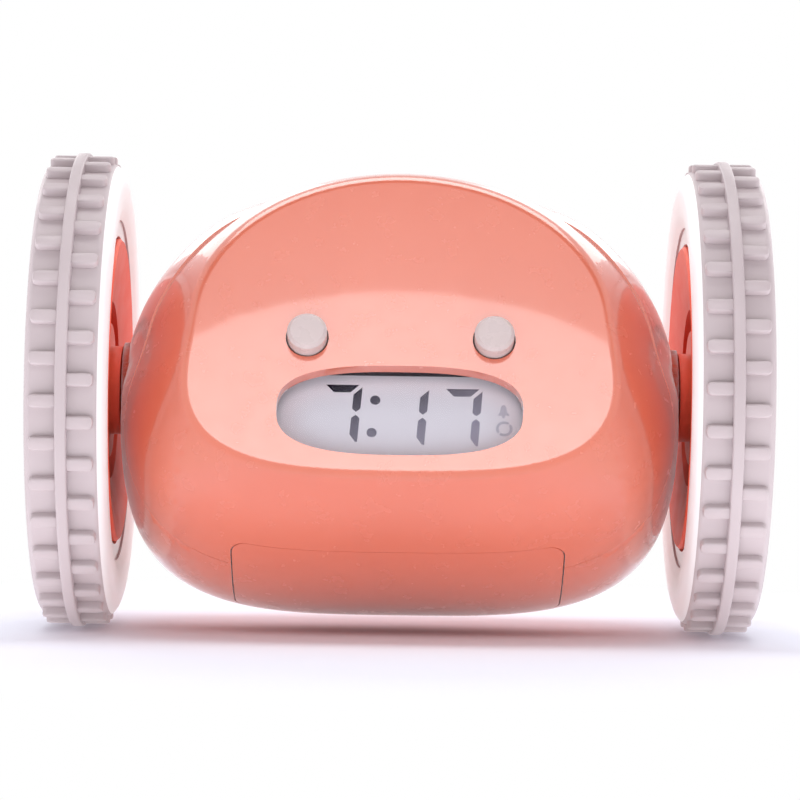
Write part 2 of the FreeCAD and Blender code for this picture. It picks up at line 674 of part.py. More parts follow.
def rear_shell_shape():
    behind = beyond(-PARTING, dim("parting_gap") - dim("parting_distance"))
    outer = egg(0, True)
    inner = egg(WALL, True)
    shell = outer.common(behind).cut(inner)
    skin = egg(WALL / 2, True)
    for side in (-1, 1):
        inner_x = dim("bushing_inner_x")
        shell = shell.fuse(tube(dim("boss_radius"), side, dim("shell_end_x") - WALL,
                                WALL + dim("boss_proud"), 0, 0))
        shell = shell.fuse(tube(dim("bushing_boss_radius"), side, inner_x, dim("bushing_length"), 0, 0))
        shell = shell.cut(tube(dim("bushing_radius"), side, inner_x, REACH / 2, 0, 0))
        rib_front = dim("motor_y") - 0.35 * dim("motor_width")
        rib_top = dim("motor_z") + dim("motor_flat") / 4
        for distance in (dim("cradle_near"), dim("cradle_far")):
            corner = V(side * distance - dim("cradle_rib") / 2, rib_front, rib_top - REACH / 2)
            rib = Part.makeBox(dim("cradle_rib"), REACH / 2, REACH / 2, corner)
            shell = shell.fuse(rib.common(skin).cut(motor_envelope(side, dim("cradle_gap"))))
    for x, z in screw_places():
        post, well = rear_screw_post(x, z)
        shell = shell.fuse(post.common(skin)).cut(well)
    ring = Part.makeCylinder(dim("sounder_radius") + dim("sounder_ring"), REACH / 2,
                             V(0, dim("sounder_depth"), dim("sounder_height")), Y_AXIS)
    bore = Part.makeCylinder(dim("sounder_radius"), REACH / 2,
                             V(0, dim("sounder_depth"), dim("sounder_height")), Y_AXIS)
    shell = shell.fuse(ring.common(skin).cut(bore.common(inner)))
    back_stop = dim("sounder_depth") + dim("sounder_thick")
    throat = Part.makeCylinder(dim("sounder_radius") - dim("sounder_ring"), REACH / 2,
                               V(0, 0, dim("sounder_height")), Y_AXIS)
    shell = shell.fuse(ring.cut(throat).common(beyond(Y_AXIS, back_stop)).common(skin))
    for count, ring_number in ((1, 0), (6, 1), (12, 2)):
        for step in range(count):
            angle = 2 * math.pi * step / count
            radius = ring_number * dim("sound_hole_pitch")
            start = V(radius * math.cos(angle), back_stop, dim("sounder_height") + radius * math.sin(angle))
            shell = shell.cut(Part.makeCylinder(dim("sound_hole_radius"), REACH / 2, start, Y_AXIS))
    for sign in (-1, 1):
        y = sign * dim("snooze_post_spacing") / 2
        post = cylinder_in_frame(dim("board_post_radius"), dim("snooze_board_radius"), REACH / 4,
                                 0, y, SNOOZE_TURN)
        pilot = cylinder_in_frame(dim("small_shank_radius"), dim("snooze_board_radius") - 1,
                                  dim("snooze_board_radius") + dim("small_length"), 0, y, SNOOZE_TURN)
        shell = shell.fuse(post.common(skin)).cut(pilot)
    top = dim("body_top_radius") - dim("hood_drop")
    shell = shell.cut(snooze_opening(0, top - WALL - 6, REACH / 2))
    return shell.cut(door_opening())


# ---------------------------------------------------------------- snooze button, door and battery box

def snooze_button_shape():
    gap = dim("button_gap")
    proud = dim("snooze_proud")
    flange = dim("snooze_flange")
    floor = WALL + gap + flange
    cap = snooze_opening(-gap, 0, REACH / 2).common(egg(-proud, True))
    plate = snooze_opening(flange, 0, REACH / 2).common(egg(WALL + gap, True))
    room = snooze_opening(-gap - dim("snooze_wall"), 0, REACH / 2)
    room = room.common(egg(dim("snooze_wall") - proud, True))
    body = cap.fuse(plate).cut(egg(floor, True)).cut(room)
    top = dim("body_top_radius") - dim("hood_drop") + proud
    stem = cylinder_in_frame(dim("button_stem_radius"), dim("snooze_plunger_top"),
                             top - dim("snooze_wall") / 2, 0, 0, SNOOZE_TURN)
    return body.fuse(stem)


def battery_door_shape():
    plate = rounded_prism(dim("door_width"), dim("door_above") + dim("door_below"),
                          (dim("door_bottom_corner"), dim("door_top_corner")),
                          dim("box_floor"), REACH / 2, DOOR_TURN,
                          (dim("door_above") - dim("door_below")) / 2)
    door = plate.common(egg()).cut(egg(dim("door_thick")))
    edge = dim("door_below")
    top = WALL + dim("hook_clearance")
    deep = top + dim("hook_thick")
    for sign in (-1, 1):
        x = sign * dim("hook_spacing") / 2
        reach = dim("hook_reach")
        root = dim("hook_root")
        step = dim("hook_step")
        corner = V(x - dim("hook_width") / 2, -edge - reach, dim("box_floor"))
        tongue = in_frame(Part.makeBox(dim("hook_width"), reach + root, REACH / 2, corner), DOOR_TURN)
        tongue = tongue.common(egg(top)).cut(egg(deep))
        corner = V(x - dim("hook_width") / 2, step - edge, dim("box_floor"))
        foot = in_frame(Part.makeBox(dim("hook_width"), root - step, REACH / 2, corner), DOOR_TURN)
        foot = foot.common(egg(dim("door_thick") / 2)).cut(egg(deep))
        door = door.fuse(tongue.fuse(foot))
    return door


def battery_box_shape():
    wall = dim("box_wall")
    half_length = dim("box_half_length")
    half_height = dim("box_half_height")
    floor = dim("box_floor")
    under = WALL + 0.1
    body = rounded_prism(2 * (half_length + wall), 2 * (half_height + wall), (0, 0), floor - wall,
                         REACH / 2, DOOR_TURN).common(egg(under))
    flange = box_envelope(0).common(egg(under)).cut(egg(under + wall))
    room = rounded_prism(2 * half_length, 2 * half_height, (0, 0), floor, REACH / 2, DOOR_TURN)
    box = body.fuse(flange).cut(room)
    side = dim("hook_room_side")
    depth = dim("hook_room_depth")
    for sign in (-1, 1):
        corner = V(sign * dim("hook_spacing") / 2 - dim("hook_width") / 2 - side,
                   -dim("door_below") - depth, floor)
        notch = Part.makeBox(dim("hook_width") + 2 * side, dim("hook_room_length"), REACH / 2, corner)
        box = box.cut(in_frame(notch, DOOR_TURN).cut(egg(WALL + depth)))
    return box


def cell_places():
    """The four cells as (number, y, z, direction) in the door's frame."""
    half = dim("cell_pitch") / 2
    near = dim("cell_distance")
    far = near - dim("cell_pitch")
    return [(1, -half, near, 1), (2, half, near, -1), (3, -half, far, -1), (4, half, far, 1)]


def contact_spring(y, z, direction):
    """A conical spring between the battery box's end and a cell's flat end.

    It is a row of short straight lengths of wire around the cone, each with flat sides.
    """
    wire = dim("spring_wire") / 2
    height = dim("spring_length") - 2 * wire - 0.1
    big = dim("cell_radius") - 1.6
    small = big / 2
    turns = dim("spring_turns")
    sides = 6
    steps = int(turns * 12)
    rings = []
    for step in range(steps + 1):
        share = step / steps
        angle = 2 * math.pi * turns * share
        outward = V(math.cos(angle), math.sin(angle), 0)
        middle = outward * (big + (small - big) * share) + Z_AXIS * (height * share)
        ring = []
        for side in range(sides):
            around = 2 * math.pi * side / sides
            ring.append(middle + outward * (wire * math.cos(around)) + Z_AXIS * (wire * math.sin(around)))
        rings.append(ring)
    triangles = []
    for ring, following in zip(rings, rings[1:]):
        for side in range(sides):
            other = (side + 1) % sides
            triangles.append((ring[side], ring[other], following[other]))
            triangles.append((ring[side], following[other], following[side]))
    for ring in (rings[0], rings[-1]):
        triangles += [(ring[0], ring[side], ring[side + 1]) for side in range(1, sides - 1)]
    faces = [Part.Face(Part.makePolygon([first, second, third, first]))
             for first, second, third in triangles]
    spring = Part.Solid(Part.Shell(faces))
    if spring.Volume < 0:
        spring.reverse()
    start = -direction * (dim("cells_half_length") - wire)
    spring.Placement = FreeCAD.Placement(V(start, y, z), FreeCAD.Rotation(Y_AXIS, 90 * direction))
    return in_frame(spring, DOOR_TURN)


# ---------------------------------------------------------------- gears

def involute(angle):
    return math.tan(angle) - angle


PRESSURE = math.radians(20)
WHEEL_ADDENDUM = 0.6
PINION_ADDENDUM = 1.0
ROOT_CLEARANCE = 0.2


def gear_wire(teeth, addendum, mate_addendum, phase):
    """Outline of an involute gear in the YZ plane; phase is the direction of one tooth's middle."""
    module = dim("gear_module")
    pitch = module * teeth / 2
    base = pitch * math.cos(PRESSURE)
    tip = pitch + addendum * module
    root = pitch - (mate_addendum + ROOT_CLEARANCE) * module
    half_tooth = (math.pi * module / 2 - dim("tooth_thinning")) / 2 / pitch
    start = max(base, root)

    def flank_angle(radius):
        return half_tooth + involute(PRESSURE) - involute(math.acos(min(1.0, base / radius)))

    def place(radius, angle):
        return V(0, radius * math.cos(angle), radius * math.sin(angle))

    radii = [start + (tip - start) * (share / 3) ** 1.5 for share in range(4)]
    if start > root:
        radii.insert(0, root)
    corners = []
    for tooth in range(teeth):
        middle = phase + 2 * math.pi * tooth / teeth
        corners += [place(r, middle - flank_angle(max(r, start))) for r in radii]
        corners += [place(r, middle + flank_angle(max(r, start))) for r in reversed(radii)]
    return Part.makePolygon(corners + corners[:1])


def gear(teeth, addendum, mate_addendum, phase, side, x, width, y, z):
    """A solid gear along X whose nearer face is at x on the given side."""
    flat = Part.Face(gear_wire(teeth, addendum, mate_addendum, phase))
    solid = flat.extrude(V(side * width, 0, 0))
    solid.translate(V(side * x, y, z))
    return solid


def wheel_gear(phase, side, x, width, y, z):
    teeth = int(dim("wheel_teeth"))
    return gear(teeth, WHEEL_ADDENDUM, PINION_ADDENDUM, phase, side, x, width, y, z)


def pinion_gear(phase, side, x, width, y, z):
    teeth = int(dim("pinion_teeth"))
    return gear(teeth, PINION_ADDENDUM, WHEEL_ADDENDUM, phase, side, x, width, y, z)


def mesh_phase(phase, teeth, direction, mate_teeth):
    """Phase of a gear that meshes with another, which lies at direction from it."""
    return direction + math.pi + math.pi / mate_teeth - (phase - direction) * teeth / mate_teeth


def gear_phases():
    """Tooth phases down the train, from the output gear to the motor pinion."""
    wheel = int(dim("wheel_teeth"))
    pinion = int(dim("pinion_teeth"))
    output = 0.0
    second = mesh_phase(output, wheel, math.radians(dim("gear_angle_out")), pinion)
    first = mesh_phase(second, wheel, math.radians(dim("gear_angle_mid")), pinion)
    motor = mesh_phase(first, wheel, math.radians(dim("gear_angle_in")), pinion)
    return output, second, first, motor


def compound_gear(side, phase, y, z, wheel_x, pinion_end):
    """A gear wheel with its pinion further out, and collars that keep it between the plates."""
    width = dim("gear_width")
    base_face = dim("plate_inner_x") + dim("plate_thick")
    collar = dim("gear_gap") / 2
    pinion_x = wheel_x + width
    body = wheel_gear(phase, side, wheel_x, width, y, z)
    body = body.fuse(pinion_gear(phase, side, pinion_x, pinion_end - pinion_x, y, z))
    hub = dim("pin_radius") * 2.2
    body = body.fuse(tube(hub, side, base_face + collar, wheel_x - base_face - collar, y, z))
    tail = dim("cover_x") - collar - pinion_end
    body = body.fuse(tube(hub, side, pinion_end, tail, y, z))
    bore = dim("pin_radius") + dim("running_clearance")
    body = body.cut(tube(bore, side, base_face, dim("cover_x") - base_face, y, z))
    return body.removeSplitter()


# ---------------------------------------------------------------- gearbox plates

def post_places():
    """Three posts that hold a gearbox cover off its base, as (y, z)."""
    return [(-6.5, -10.5), (8.5, -13.0), (-3.5, 11.8)]


def plate(side, x, corners):
    """A flat plate with rounded corners around the given (y, z) places."""
    points = [V(0, y, z) for y, z in corners]
    flat = Part.Face(Part.makePolygon(points + points[:1]))
    flat = flat.makeOffset2D(dim("plate_margin"))
    solid = flat.extrude(V(side * dim("plate_thick"), 0, 0))
    solid.translate(V(side * x, 0, 0))
    return solid


def gearbox_base_shape(side):
    posts = post_places()
    motor = (dim("motor_y"), dim("motor_z"))
    first, second = gear_pin_places()
    corners = [posts[0], posts[1], (motor[0] + 7, motor[1] - 3.2), (first[0] + 1, first[1]),
               (second[0], second[1] + 2), posts[2]]
    x = dim("plate_inner_x")
    base = plate(side, x, corners)
    far = REACH / 4
    for y, z in posts:
        base = base.fuse(tube(dim("post_radius"), side, x, dim("cover_x") - x, y, z))
        pilot_x = dim("cover_outer_x") - dim("small_length")
        base = base.cut(tube(dim("small_shank_radius"), side, pilot_x, far, y, z))
    base = base.cut(tube(dim("motor_boss_radius") + 0.1, side, x - 1, far, *motor))
    base = base.cut(tube(dim("axle_radius") + dim("running_clearance"), side, x - 1, far, 0, 0))
    for y, z in gear_pin_places():
        base = base.cut(tube(dim("pin_radius"), side, x - 1, far, y, z))
    for y, z in motor_screw_places():
        base = base.cut(tube(dim("small_shank_radius"), side, x - 1, far, y, z))
    return base


def motor_screw_places():
    """The two screws between gearbox base and motor, as (y, z)."""
    reach = dim("motor_screw_spacing") / 2
    angle = math.radians(dim("motor_screw_turn"))
    y = reach * math.cos(angle)
    z = reach * math.sin(angle)
    return [(dim("motor_y") + sign * y, dim("motor_z") + sign * z) for sign in (-1, 1)]


def gear_pin_places():
    return [(dim("first_gear_y"), dim("first_gear_z")), (dim("second_gear_y"), dim("second_gear_z"))]


def gearbox_cover_shape(side):
    posts = post_places()
    first, second = gear_pin_places()
    cover = plate(side, dim("cover_x"), [posts[0], posts[1], first, second, posts[2]])
    far = REACH / 4
    for y, z in posts:
        cover = cover.cut(tube(dim("small_shank_radius"), side, dim("cover_x") - 1, far, y, z))
    for y, z in gear_pin_places():
        cover = cover.cut(tube(dim("pin_radius"), side, dim("cover_x") - 1, far, y, z))
    bore = dim("axle_radius") + dim("running_clearance")
    return cover.cut(tube(bore, side, dim("cover_x") - 1, far, 0, 0))


def motor_shape(side):
    can = motor_envelope(side, 0)
    x = dim("motor_face_x")
    motor = (dim("motor_y"), dim("motor_z"))
    boss = tube(dim("motor_boss_radius"), side, x, dim("motor_boss_height"), *motor)
    tail = tube(dim("motor_boss_radius"), side, x - dim("motor_length") - 1, 2.0, *motor)
    body = can.fuse(boss).fuse(tail)
    body = body.cut(tube(dim("motor_shaft_radius") + dim("running_clearance"), side,
                         x - dim("shaft_depth") - 0.5, REACH / 4, *motor))
    for y, z in motor_screw_places():
        body = body.cut(tube(dim("small_shank_radius"), side, x - dim("small_length"), REACH / 4, y, z))
    return body


def small_screw(direction, seat):
    """A small pan-head screw whose head sits on seat and whose shank runs along direction."""
    head = Part.makeCylinder(dim("small_head_radius"), dim("small_head_height"), seat, direction * -1)
    shank = Part.makeCylinder(dim("small_shank_radius"), dim("small_length") - 0.4, seat, direction)
    slot = Part.makeBox(dim("small_head_radius") * 1.2, 0.4, 0.5)
    slot.translate(V(-dim("small_head_radius") * 0.6, -0.2, 0))
    slot.Placement = FreeCAD.Placement(seat - direction * (dim("small_head_height")),
                                       FreeCAD.Rotation(Z_AXIS, direction)).multiply(slot.Placement)
    return head.fuse(shank).cut(slot)


def shell_screw(x, z):
    """A shell screw in its well: pan head behind, shank to the front."""
    seat = V(x, parting_y(z) + dim("parting_gap") + dim("screw_seat"), z)
    head = Part.makeCylinder(dim("screw_head_radius"), dim("screw_head_height"), seat, Y_AXIS)
    shank = Part.makeCylinder(dim("screw_shank_radius"), dim("screw_length"), seat, Y_AXIS * -1)
    end = seat + Y_AXIS * dim("screw_head_height")
    cross = Part.makeBox(0.7, 1.6, 2.8, end - V(0.35, 0.8, 1.4))
    cross = cross.fuse(Part.makeBox(2.8, 1.6, 0.7, end - V(1.4, 0.8, 0.35)))
    return head.fuse(shank).cut(cross)


# ---------------------------------------------------------------- making the pieces

PIECES = []


def keep(item):
    """Mark an item as a sub-part: its label names its file."""
    PIECES.append(item)
    return item


def make_shells():
    keep(feature("front_shell", front_shell_shape()))
    keep(feature("rear_shell", rear_shell_shape()))
    keep(feature("battery_door", battery_door_shape()))
    keep(feature("snooze_button", snooze_button_shape()))
    keep(feature("battery_box", battery_box_shape()))
    screws = [shell_screw(x, z) for x, z in screw_places()]
    keep(feature("shell_screws", Part.makeCompound(screws)))


def make_display():
    keep(feature("display_window", superellipse_prism(
        dim("window_half_width") + dim("lens_overlap"), dim("window_half_height") + dim("lens_overlap"),
        dim("window_power"), dim("lens_back"), dim("face_inner"), FACE_TURN, -dim("window_drop"))))
    middle = "lcd_middle"
    keep(block("display_glass", "lcd_width", "lcd_height", "lcd_thick", "face_turn", "0", middle,
               "lcd_back"))
    depth = "lcd_front - board_front"
    outer = block("holder_outer", "lcd_width + 2 * (lcd_gap + holder_wall)",
                  "lcd_height + 2 * (lcd_gap + holder_wall)", depth, "face_turn", "0", middle, "board_front")
    inner = block("holder_room", "lcd_width + 2 * lcd_gap", "lcd_height + 2 * lcd_gap", f"{depth} + 2",
                  "face_turn", "0", middle, "board_front - 1")
    keep(cut("display_holder", outer, inner))
    keep(block("display_connector", "strip_width", "strip_depth", "lcd_to_board", "face_turn", "0",
               "lcd_middle - lcd_height / 2 + strip_depth", "board_front"))
    board = block("board_blank", "board_width", "board_height", "board_thick", "face_turn", "0",
                  "board_middle", "board_back")
    holes = []
    for column in (-1, 1):
        for rank in (-1, 1):
            across = f"{column} * board_post_spacing_x / 2"
            along = f"board_middle + {rank} * board_post_spacing_y / 2"
            holes.append(rod(f"board_hole_{len(holes) + 1}", "small_shank_radius", "board_thick + 2",
                             "face_turn", across, along, "board_back - 1"))
    keep(cut("main_board", board, group("board_holes", holes)))
    keep(block("controller_chip", "chip_size", "chip_size", "chip_thick", "face_turn", "0", "board_middle",
               "board_back - chip_thick"))


SWITCHES = []


def make_switch(name, turn, x, y, base):
    """A tact switch on a board, with its plunger as a piece that moves."""
    body = block(name + "_body", "switch_size", "switch_size", "switch_height", turn, x, y, base)
    well = rod(name + "_well", "plunger_radius + running_clearance", "plunger_depth + button_travel + 1",
               turn, x, y, f"{base} + switch_height - plunger_depth - button_travel - 0.1")
    SWITCHES.append(cut(name, body, well))
    keep(rod(name + "_plunger", "plunger_radius", "plunger_height + plunger_depth", turn, x, y,
             f"{base} + switch_height - plunger_depth"))


def make_buttons():
    for side_name, side in SIDES.items():
        x = f"{side} * button_spacing / 2"
        flange = "button_radius + button_flange_width"
        outline = [("plunger_top", "0"), ("plunger_top", "button_stem_radius"),
                   ("flange_back", "button_stem_radius"), ("flange_back", flange),
                   ("flange_front", flange), ("flange_front", "button_radius"),
                   ("face_distance + button_proud - button_edge", "button_radius"),
                   ("face_distance + button_proud", "button_radius - button_edge"),
                   ("face_distance + button_proud", "0")]
        blank = turned(f"{side_name}_button_blank", outline, turn="face_turn", x=x, y="-button_drop",
                       z="0", upright=True)
        waste = block(f"{side_name}_button_flat", f"2 * ({flange}) + 1", flange, "button_flange_thick",
                      "face_turn", x, f"button_flat_y - ({flange}) / 2", "flange_back")
        keep(cut(f"{side_name}_face_button", blank, waste))
        make_switch(f"{side_name}_switch", "face_turn", x, "-button_drop", "board_front")
    blank = block("snooze_board_blank", "snooze_board_width", "snooze_board_depth", "board_thick",
                  "snooze_turn", "0", "0", "snooze_board_radius - board_thick")
    holes = [rod(f"snooze_board_hole_{number}", "small_shank_radius", "board_thick + 2", "snooze_turn",
                 "0", f"{sign} * snooze_post_spacing / 2", "snooze_board_radius - board_thick - 1")
             for number, sign in ((1, -1), (2, 1))]
    keep(cut("snooze_board", blank, group("snooze_board_holes", holes)))
    make_switch("snooze_switch", "snooze_turn", "0", "0", "snooze_board_radius")
    keep(group("tact_switches", SWITCHES))


def make_power():
    for number, y, z, direction in cell_places():
        row = "cell_distance" if number < 3 else "cell_distance - cell_pitch"
        column = "-cell_pitch / 2" if number % 2 else "cell_pitch / 2"
        start = "cells_half_length - nub_height - cell_length" if direction > 0 \
            else "-cells_half_length + nub_height"
        can = doc.addObject("Part::Cylinder", f"cell_{number}_can")
        nub = doc.addObject("Part::Cylinder", f"cell_{number}_nub")
        nub_start = "cells_half_length - nub_height" if direction > 0 else "-cells_half_length"
        for item, radius, length, x in ((can, "cell_radius", "cell_length", start),
                                        (nub, "nub_radius", "nub_height", nub_start)):
            bind(item, "Radius", radius)
            bind(item, "Height", length)
            item.Placement = FreeCAD.Placement(V(0, 0, 0), FreeCAD.Rotation(Y_AXIS, 90))
            bind(item, "Placement.Base.x", x)
            bind(item, "Placement.Base.y", f"({column}) * cos(door_turn) - ({row}) * sin(door_turn)")
            bind(item, "Placement.Base.z", f"({column}) * sin(door_turn) + ({row}) * cos(door_turn)")
        keep(fuse(f"cell_{number}", [can, nub]))
    springs = [contact_spring(y, z, direction) for number, y, z, direction in cell_places()]
    keep(feature("contact_springs", Part.makeCompound(springs)))
    plates = []
    for number, y, z, direction in cell_places():
        row = "cell_distance" if number < 3 else "cell_distance - cell_pitch"
        column = "-cell_pitch / 2" if number % 2 else "cell_pitch / 2"
        for end in (-1, 1):
            x = f"{end} * (cells_half_length + contact_thick / 2)"
            plates.append(block(f"plate_{len(plates) + 1}", "contact_thick", "contact_size",
                                "contact_size", "door_turn", x, column, f"{row} - contact_size / 2"))
    keep(group("contact_plates", plates))


def make_sounder():
    keep(rod("sounder", "sounder_radius - running_clearance", "sounder_thick", "-90", "0",
             "-sounder_height", "sounder_depth"))


PINS = []


def make_drive(side_name, side):
    output, second, first, motor = gear_phases()
    width = dim("gear_width")
    gap = dim("gear_gap")
    y2, z2 = dim("second_gear_y"), dim("second_gear_z")
    y1, z1 = dim("first_gear_y"), dim("first_gear_z")
    ym, zm = dim("motor_y"), dim("motor_z")
    out = wheel_gear(output, side, dim("plane_c"), width, 0, 0)
    out = out.fuse(tube(dim("axle_radius") * 2, side, dim("plane_c") + width, gap / 2, 0, 0))
    out = out.cut(tube(dim("axle_radius"), side, dim("plane_c") - 1, width + 3, 0, 0))
    keep(feature(f"{side_name}_output_gear", out))
    keep(feature(f"{side_name}_second_gear",
                 compound_gear(side, second, y2, z2, dim("plane_b"), dim("plane_c") + width)))
    keep(feature(f"{side_name}_first_gear",
                 compound_gear(side, first, y1, z1, dim("plane_a"), dim("plane_b") + width)))
    pinion = pinion_gear(motor, side, dim("plane_a"), width, ym, zm)
    pinion = pinion.cut(tube(dim("motor_shaft_radius"), side, dim("plane_a") - 1, width + 2, ym, zm))
    keep(feature(f"{side_name}_motor_pinion", pinion))
    keep(rod_along_axle(f"{side_name}_motor_shaft", "motor_shaft_radius",
                        "plane_a + gear_width - motor_face_x + shaft_depth", side,
                        "motor_face_x - shaft_depth", "motor_y", "motor_z"))
    keep(feature(f"{side_name}_motor", motor_shape(side)))
    for name in ("first", "second"):
        PINS.append(rod_along_axle(f"{side_name}_pin_{name}", "pin_radius",
                                   "cover_outer_x - plate_inner_x", side, "plate_inner_x",
                                   f"{name}_gear_y", f"{name}_gear_z"))
    keep(feature(f"{side_name}_gearbox_base", gearbox_base_shape(side)))
    keep(feature(f"{side_name}_gearbox_cover", gearbox_cover_shape(side)))


def make_screws():
    screws = []
    for x, up in board_post_places():
        seat = V(x, up, dim("board_back"))
        frame = FreeCAD.Rotation(X_AXIS, FACE_TURN)
        screws.append(small_screw(frame.multVec(Z_AXIS), frame.multVec(seat)))
    for side in (-1, 1):
        for y, z in post_places():
            screws.append(small_screw(X_AXIS * -side, V(side * dim("cover_outer_x"), y, z)))
        base_face = side * (dim("plate_inner_x") + dim("plate_thick"))
        for y, z in motor_screw_places():
            screws.append(small_screw(X_AXIS * -side, V(base_face, y, z)))
    frame = FreeCAD.Rotation(X_AXIS, SNOOZE_TURN)
    for sign in (-1, 1):
        seat = V(0, sign * dim("snooze_post_spacing") / 2, dim("snooze_board_radius") - dim("board_thick"))
        screws.append(small_screw(frame.multVec(Z_AXIS), frame.multVec(seat)))
    keep(feature("small_screws", Part.makeCompound(screws)))


def make_tyre(side_name, side):
    floor = "tread_floor"
    rib_low = "rib_centre - rib_width / 2"
    rib_high = "rib_centre + rib_width / 2"
    outline = [("disc_inner_x - 0.4", "tyre_bead_radius"), ("tyre_inner_x + 0.3", "tyre_bead_radius + 2"),
               ("tyre_inner_x", "tyre_bead_radius + 4"), ("tyre_inner_x", f"{floor} - 3.5"),
               ("tyre_inner_x + 0.7", f"{floor} - 1.4"), ("tyre_inner_x + 1.8", floor),
               (rib_low, floor), (rib_low, "wheel_radius"), (rib_high, "wheel_radius"), (rib_high, floor),
               ("tyre_outer_x - 0.9", floor), ("tyre_outer_x", f"{floor} - 1"),
               ("tyre_outer_x", "tyre_bead_radius + 4"), ("disc_outer_x + 0.3", "tyre_bead_radius")]
    body = turned(f"{side_name}_tyre", outline, side)
    rows = (("inner", "rib_centre - rib_width / 2 - lug_length", "rib_centre", "lug_phase", 1),
            ("outer", "rib_centre", "rib_centre + rib_width / 2 + lug_length",
             "lug_phase + 180 / lug_count", -1))
    for row, low, high, phase, blunt in rows:
        name = f"{side_name}_{row}_bars"
        sketch = body.newObject("Sketcher::SketchObject", name + "_outline")
        sketch.AttachmentSupport = [(origin_part(body, "XY_Plane"), "")]
        sketch.MapMode = "FlatFace"
        sketch.AttachmentOffset = FreeCAD.Placement(V(0, 0, 0), FreeCAD.Rotation(X_AXIS, 1))
        turn = f"90 - ({phase})" if side > 0 else f"({phase}) - 90"
        bind(sketch, "AttachmentOffset.Rotation.Angle", turn)
        bind(sketch, "AttachmentOffset.Base.y", f"-({floor} - 0.5) * sin({turn})")
        bind(sketch, "AttachmentOffset.Base.z", f"({floor} - 0.5) * cos({turn})")
        add_bar_outline(sketch, low, high, blunt)
        pad = body.newObject("PartDesign::Pad", name + "_first")
        pad.Profile = sketch
        bind(pad, "Length", "tread_depth - lug_drop + 0.5")
        pattern = body.newObject("PartDesign::PolarPattern", name)
        pattern.Originals = [pad]
        pattern.Axis = (origin_part(body, "X_Axis"), [""])
        pattern.Angle = 360
        bind(pattern, "Occurrences", "lug_count")
        body.Tip = pattern
    keep(body)


def add_bar_outline(sketch, low, high, blunt):
    """Outline of one tread bar: square where it joins the rib, round at its free end."""
    half = "lug_width / 2"
    centre = f"{low} + {half}" if blunt > 0 else f"{high} - {half}"
    joint = high if blunt > 0 else low
    turn = math.pi / 2
    if blunt > 0:
        arc = Part.ArcOfCircle(Part.Circle(V(5, 0, 0), Z_AXIS, 1), turn, 3 * turn)
    else:
        arc = Part.ArcOfCircle(Part.Circle(V(5, 0, 0), Z_AXIS, 1), -turn, turn)
    sketch.addGeometry(arc)
    far = 9 if blunt > 0 else 1
    corners = [V(5, 1, 0), V(far, 1, 0), V(far, -1, 0), V(5, -1, 0)]
    for start, end in zip(corners, corners[1:]):
        sketch.addGeometry(Part.LineSegment(start, end))
    arc_top, arc_bottom = (1, 2) if blunt > 0 else (2, 1)
    link = Sketcher.Constraint
    sketch.addConstraint(link("Coincident", 0, arc_top, 1, 1))
    sketch.addConstraint(link("Coincident", 1, 2, 2, 1))
    sketch.addConstraint(link("Coincident", 2, 2, 3, 1))
    sketch.addConstraint(link("Coincident", 3, 2, 0, arc_bottom))
    sketch.addConstraint(link("Horizontal", 1))
    sketch.addConstraint(link("Vertical", 2))
    sketch.addConstraint(link("Horizontal", 3))
    sketch.addConstraint(link("PointOnObject", 0, 3, -1))
    sketch.addConstraint(link("Vertical", 0, 1, 0, 3))
    sketch.addConstraint(link("Vertical", 0, 2, 0, 3))
    for kind, geometry, point, formula in (("DistanceX", 0, 3, centre), ("DistanceX", 1, 2, joint)):
        index = sketch.addConstraint(link(kind, -1, 1, geometry, point, 5.0))
        bind(sketch, f"Constraints[{index}]", formula)
    index = sketch.addConstraint(link("Radius", 0, 1.0))
    bind(sketch, f"Constraints[{index}]", half)


BUSHINGS = []


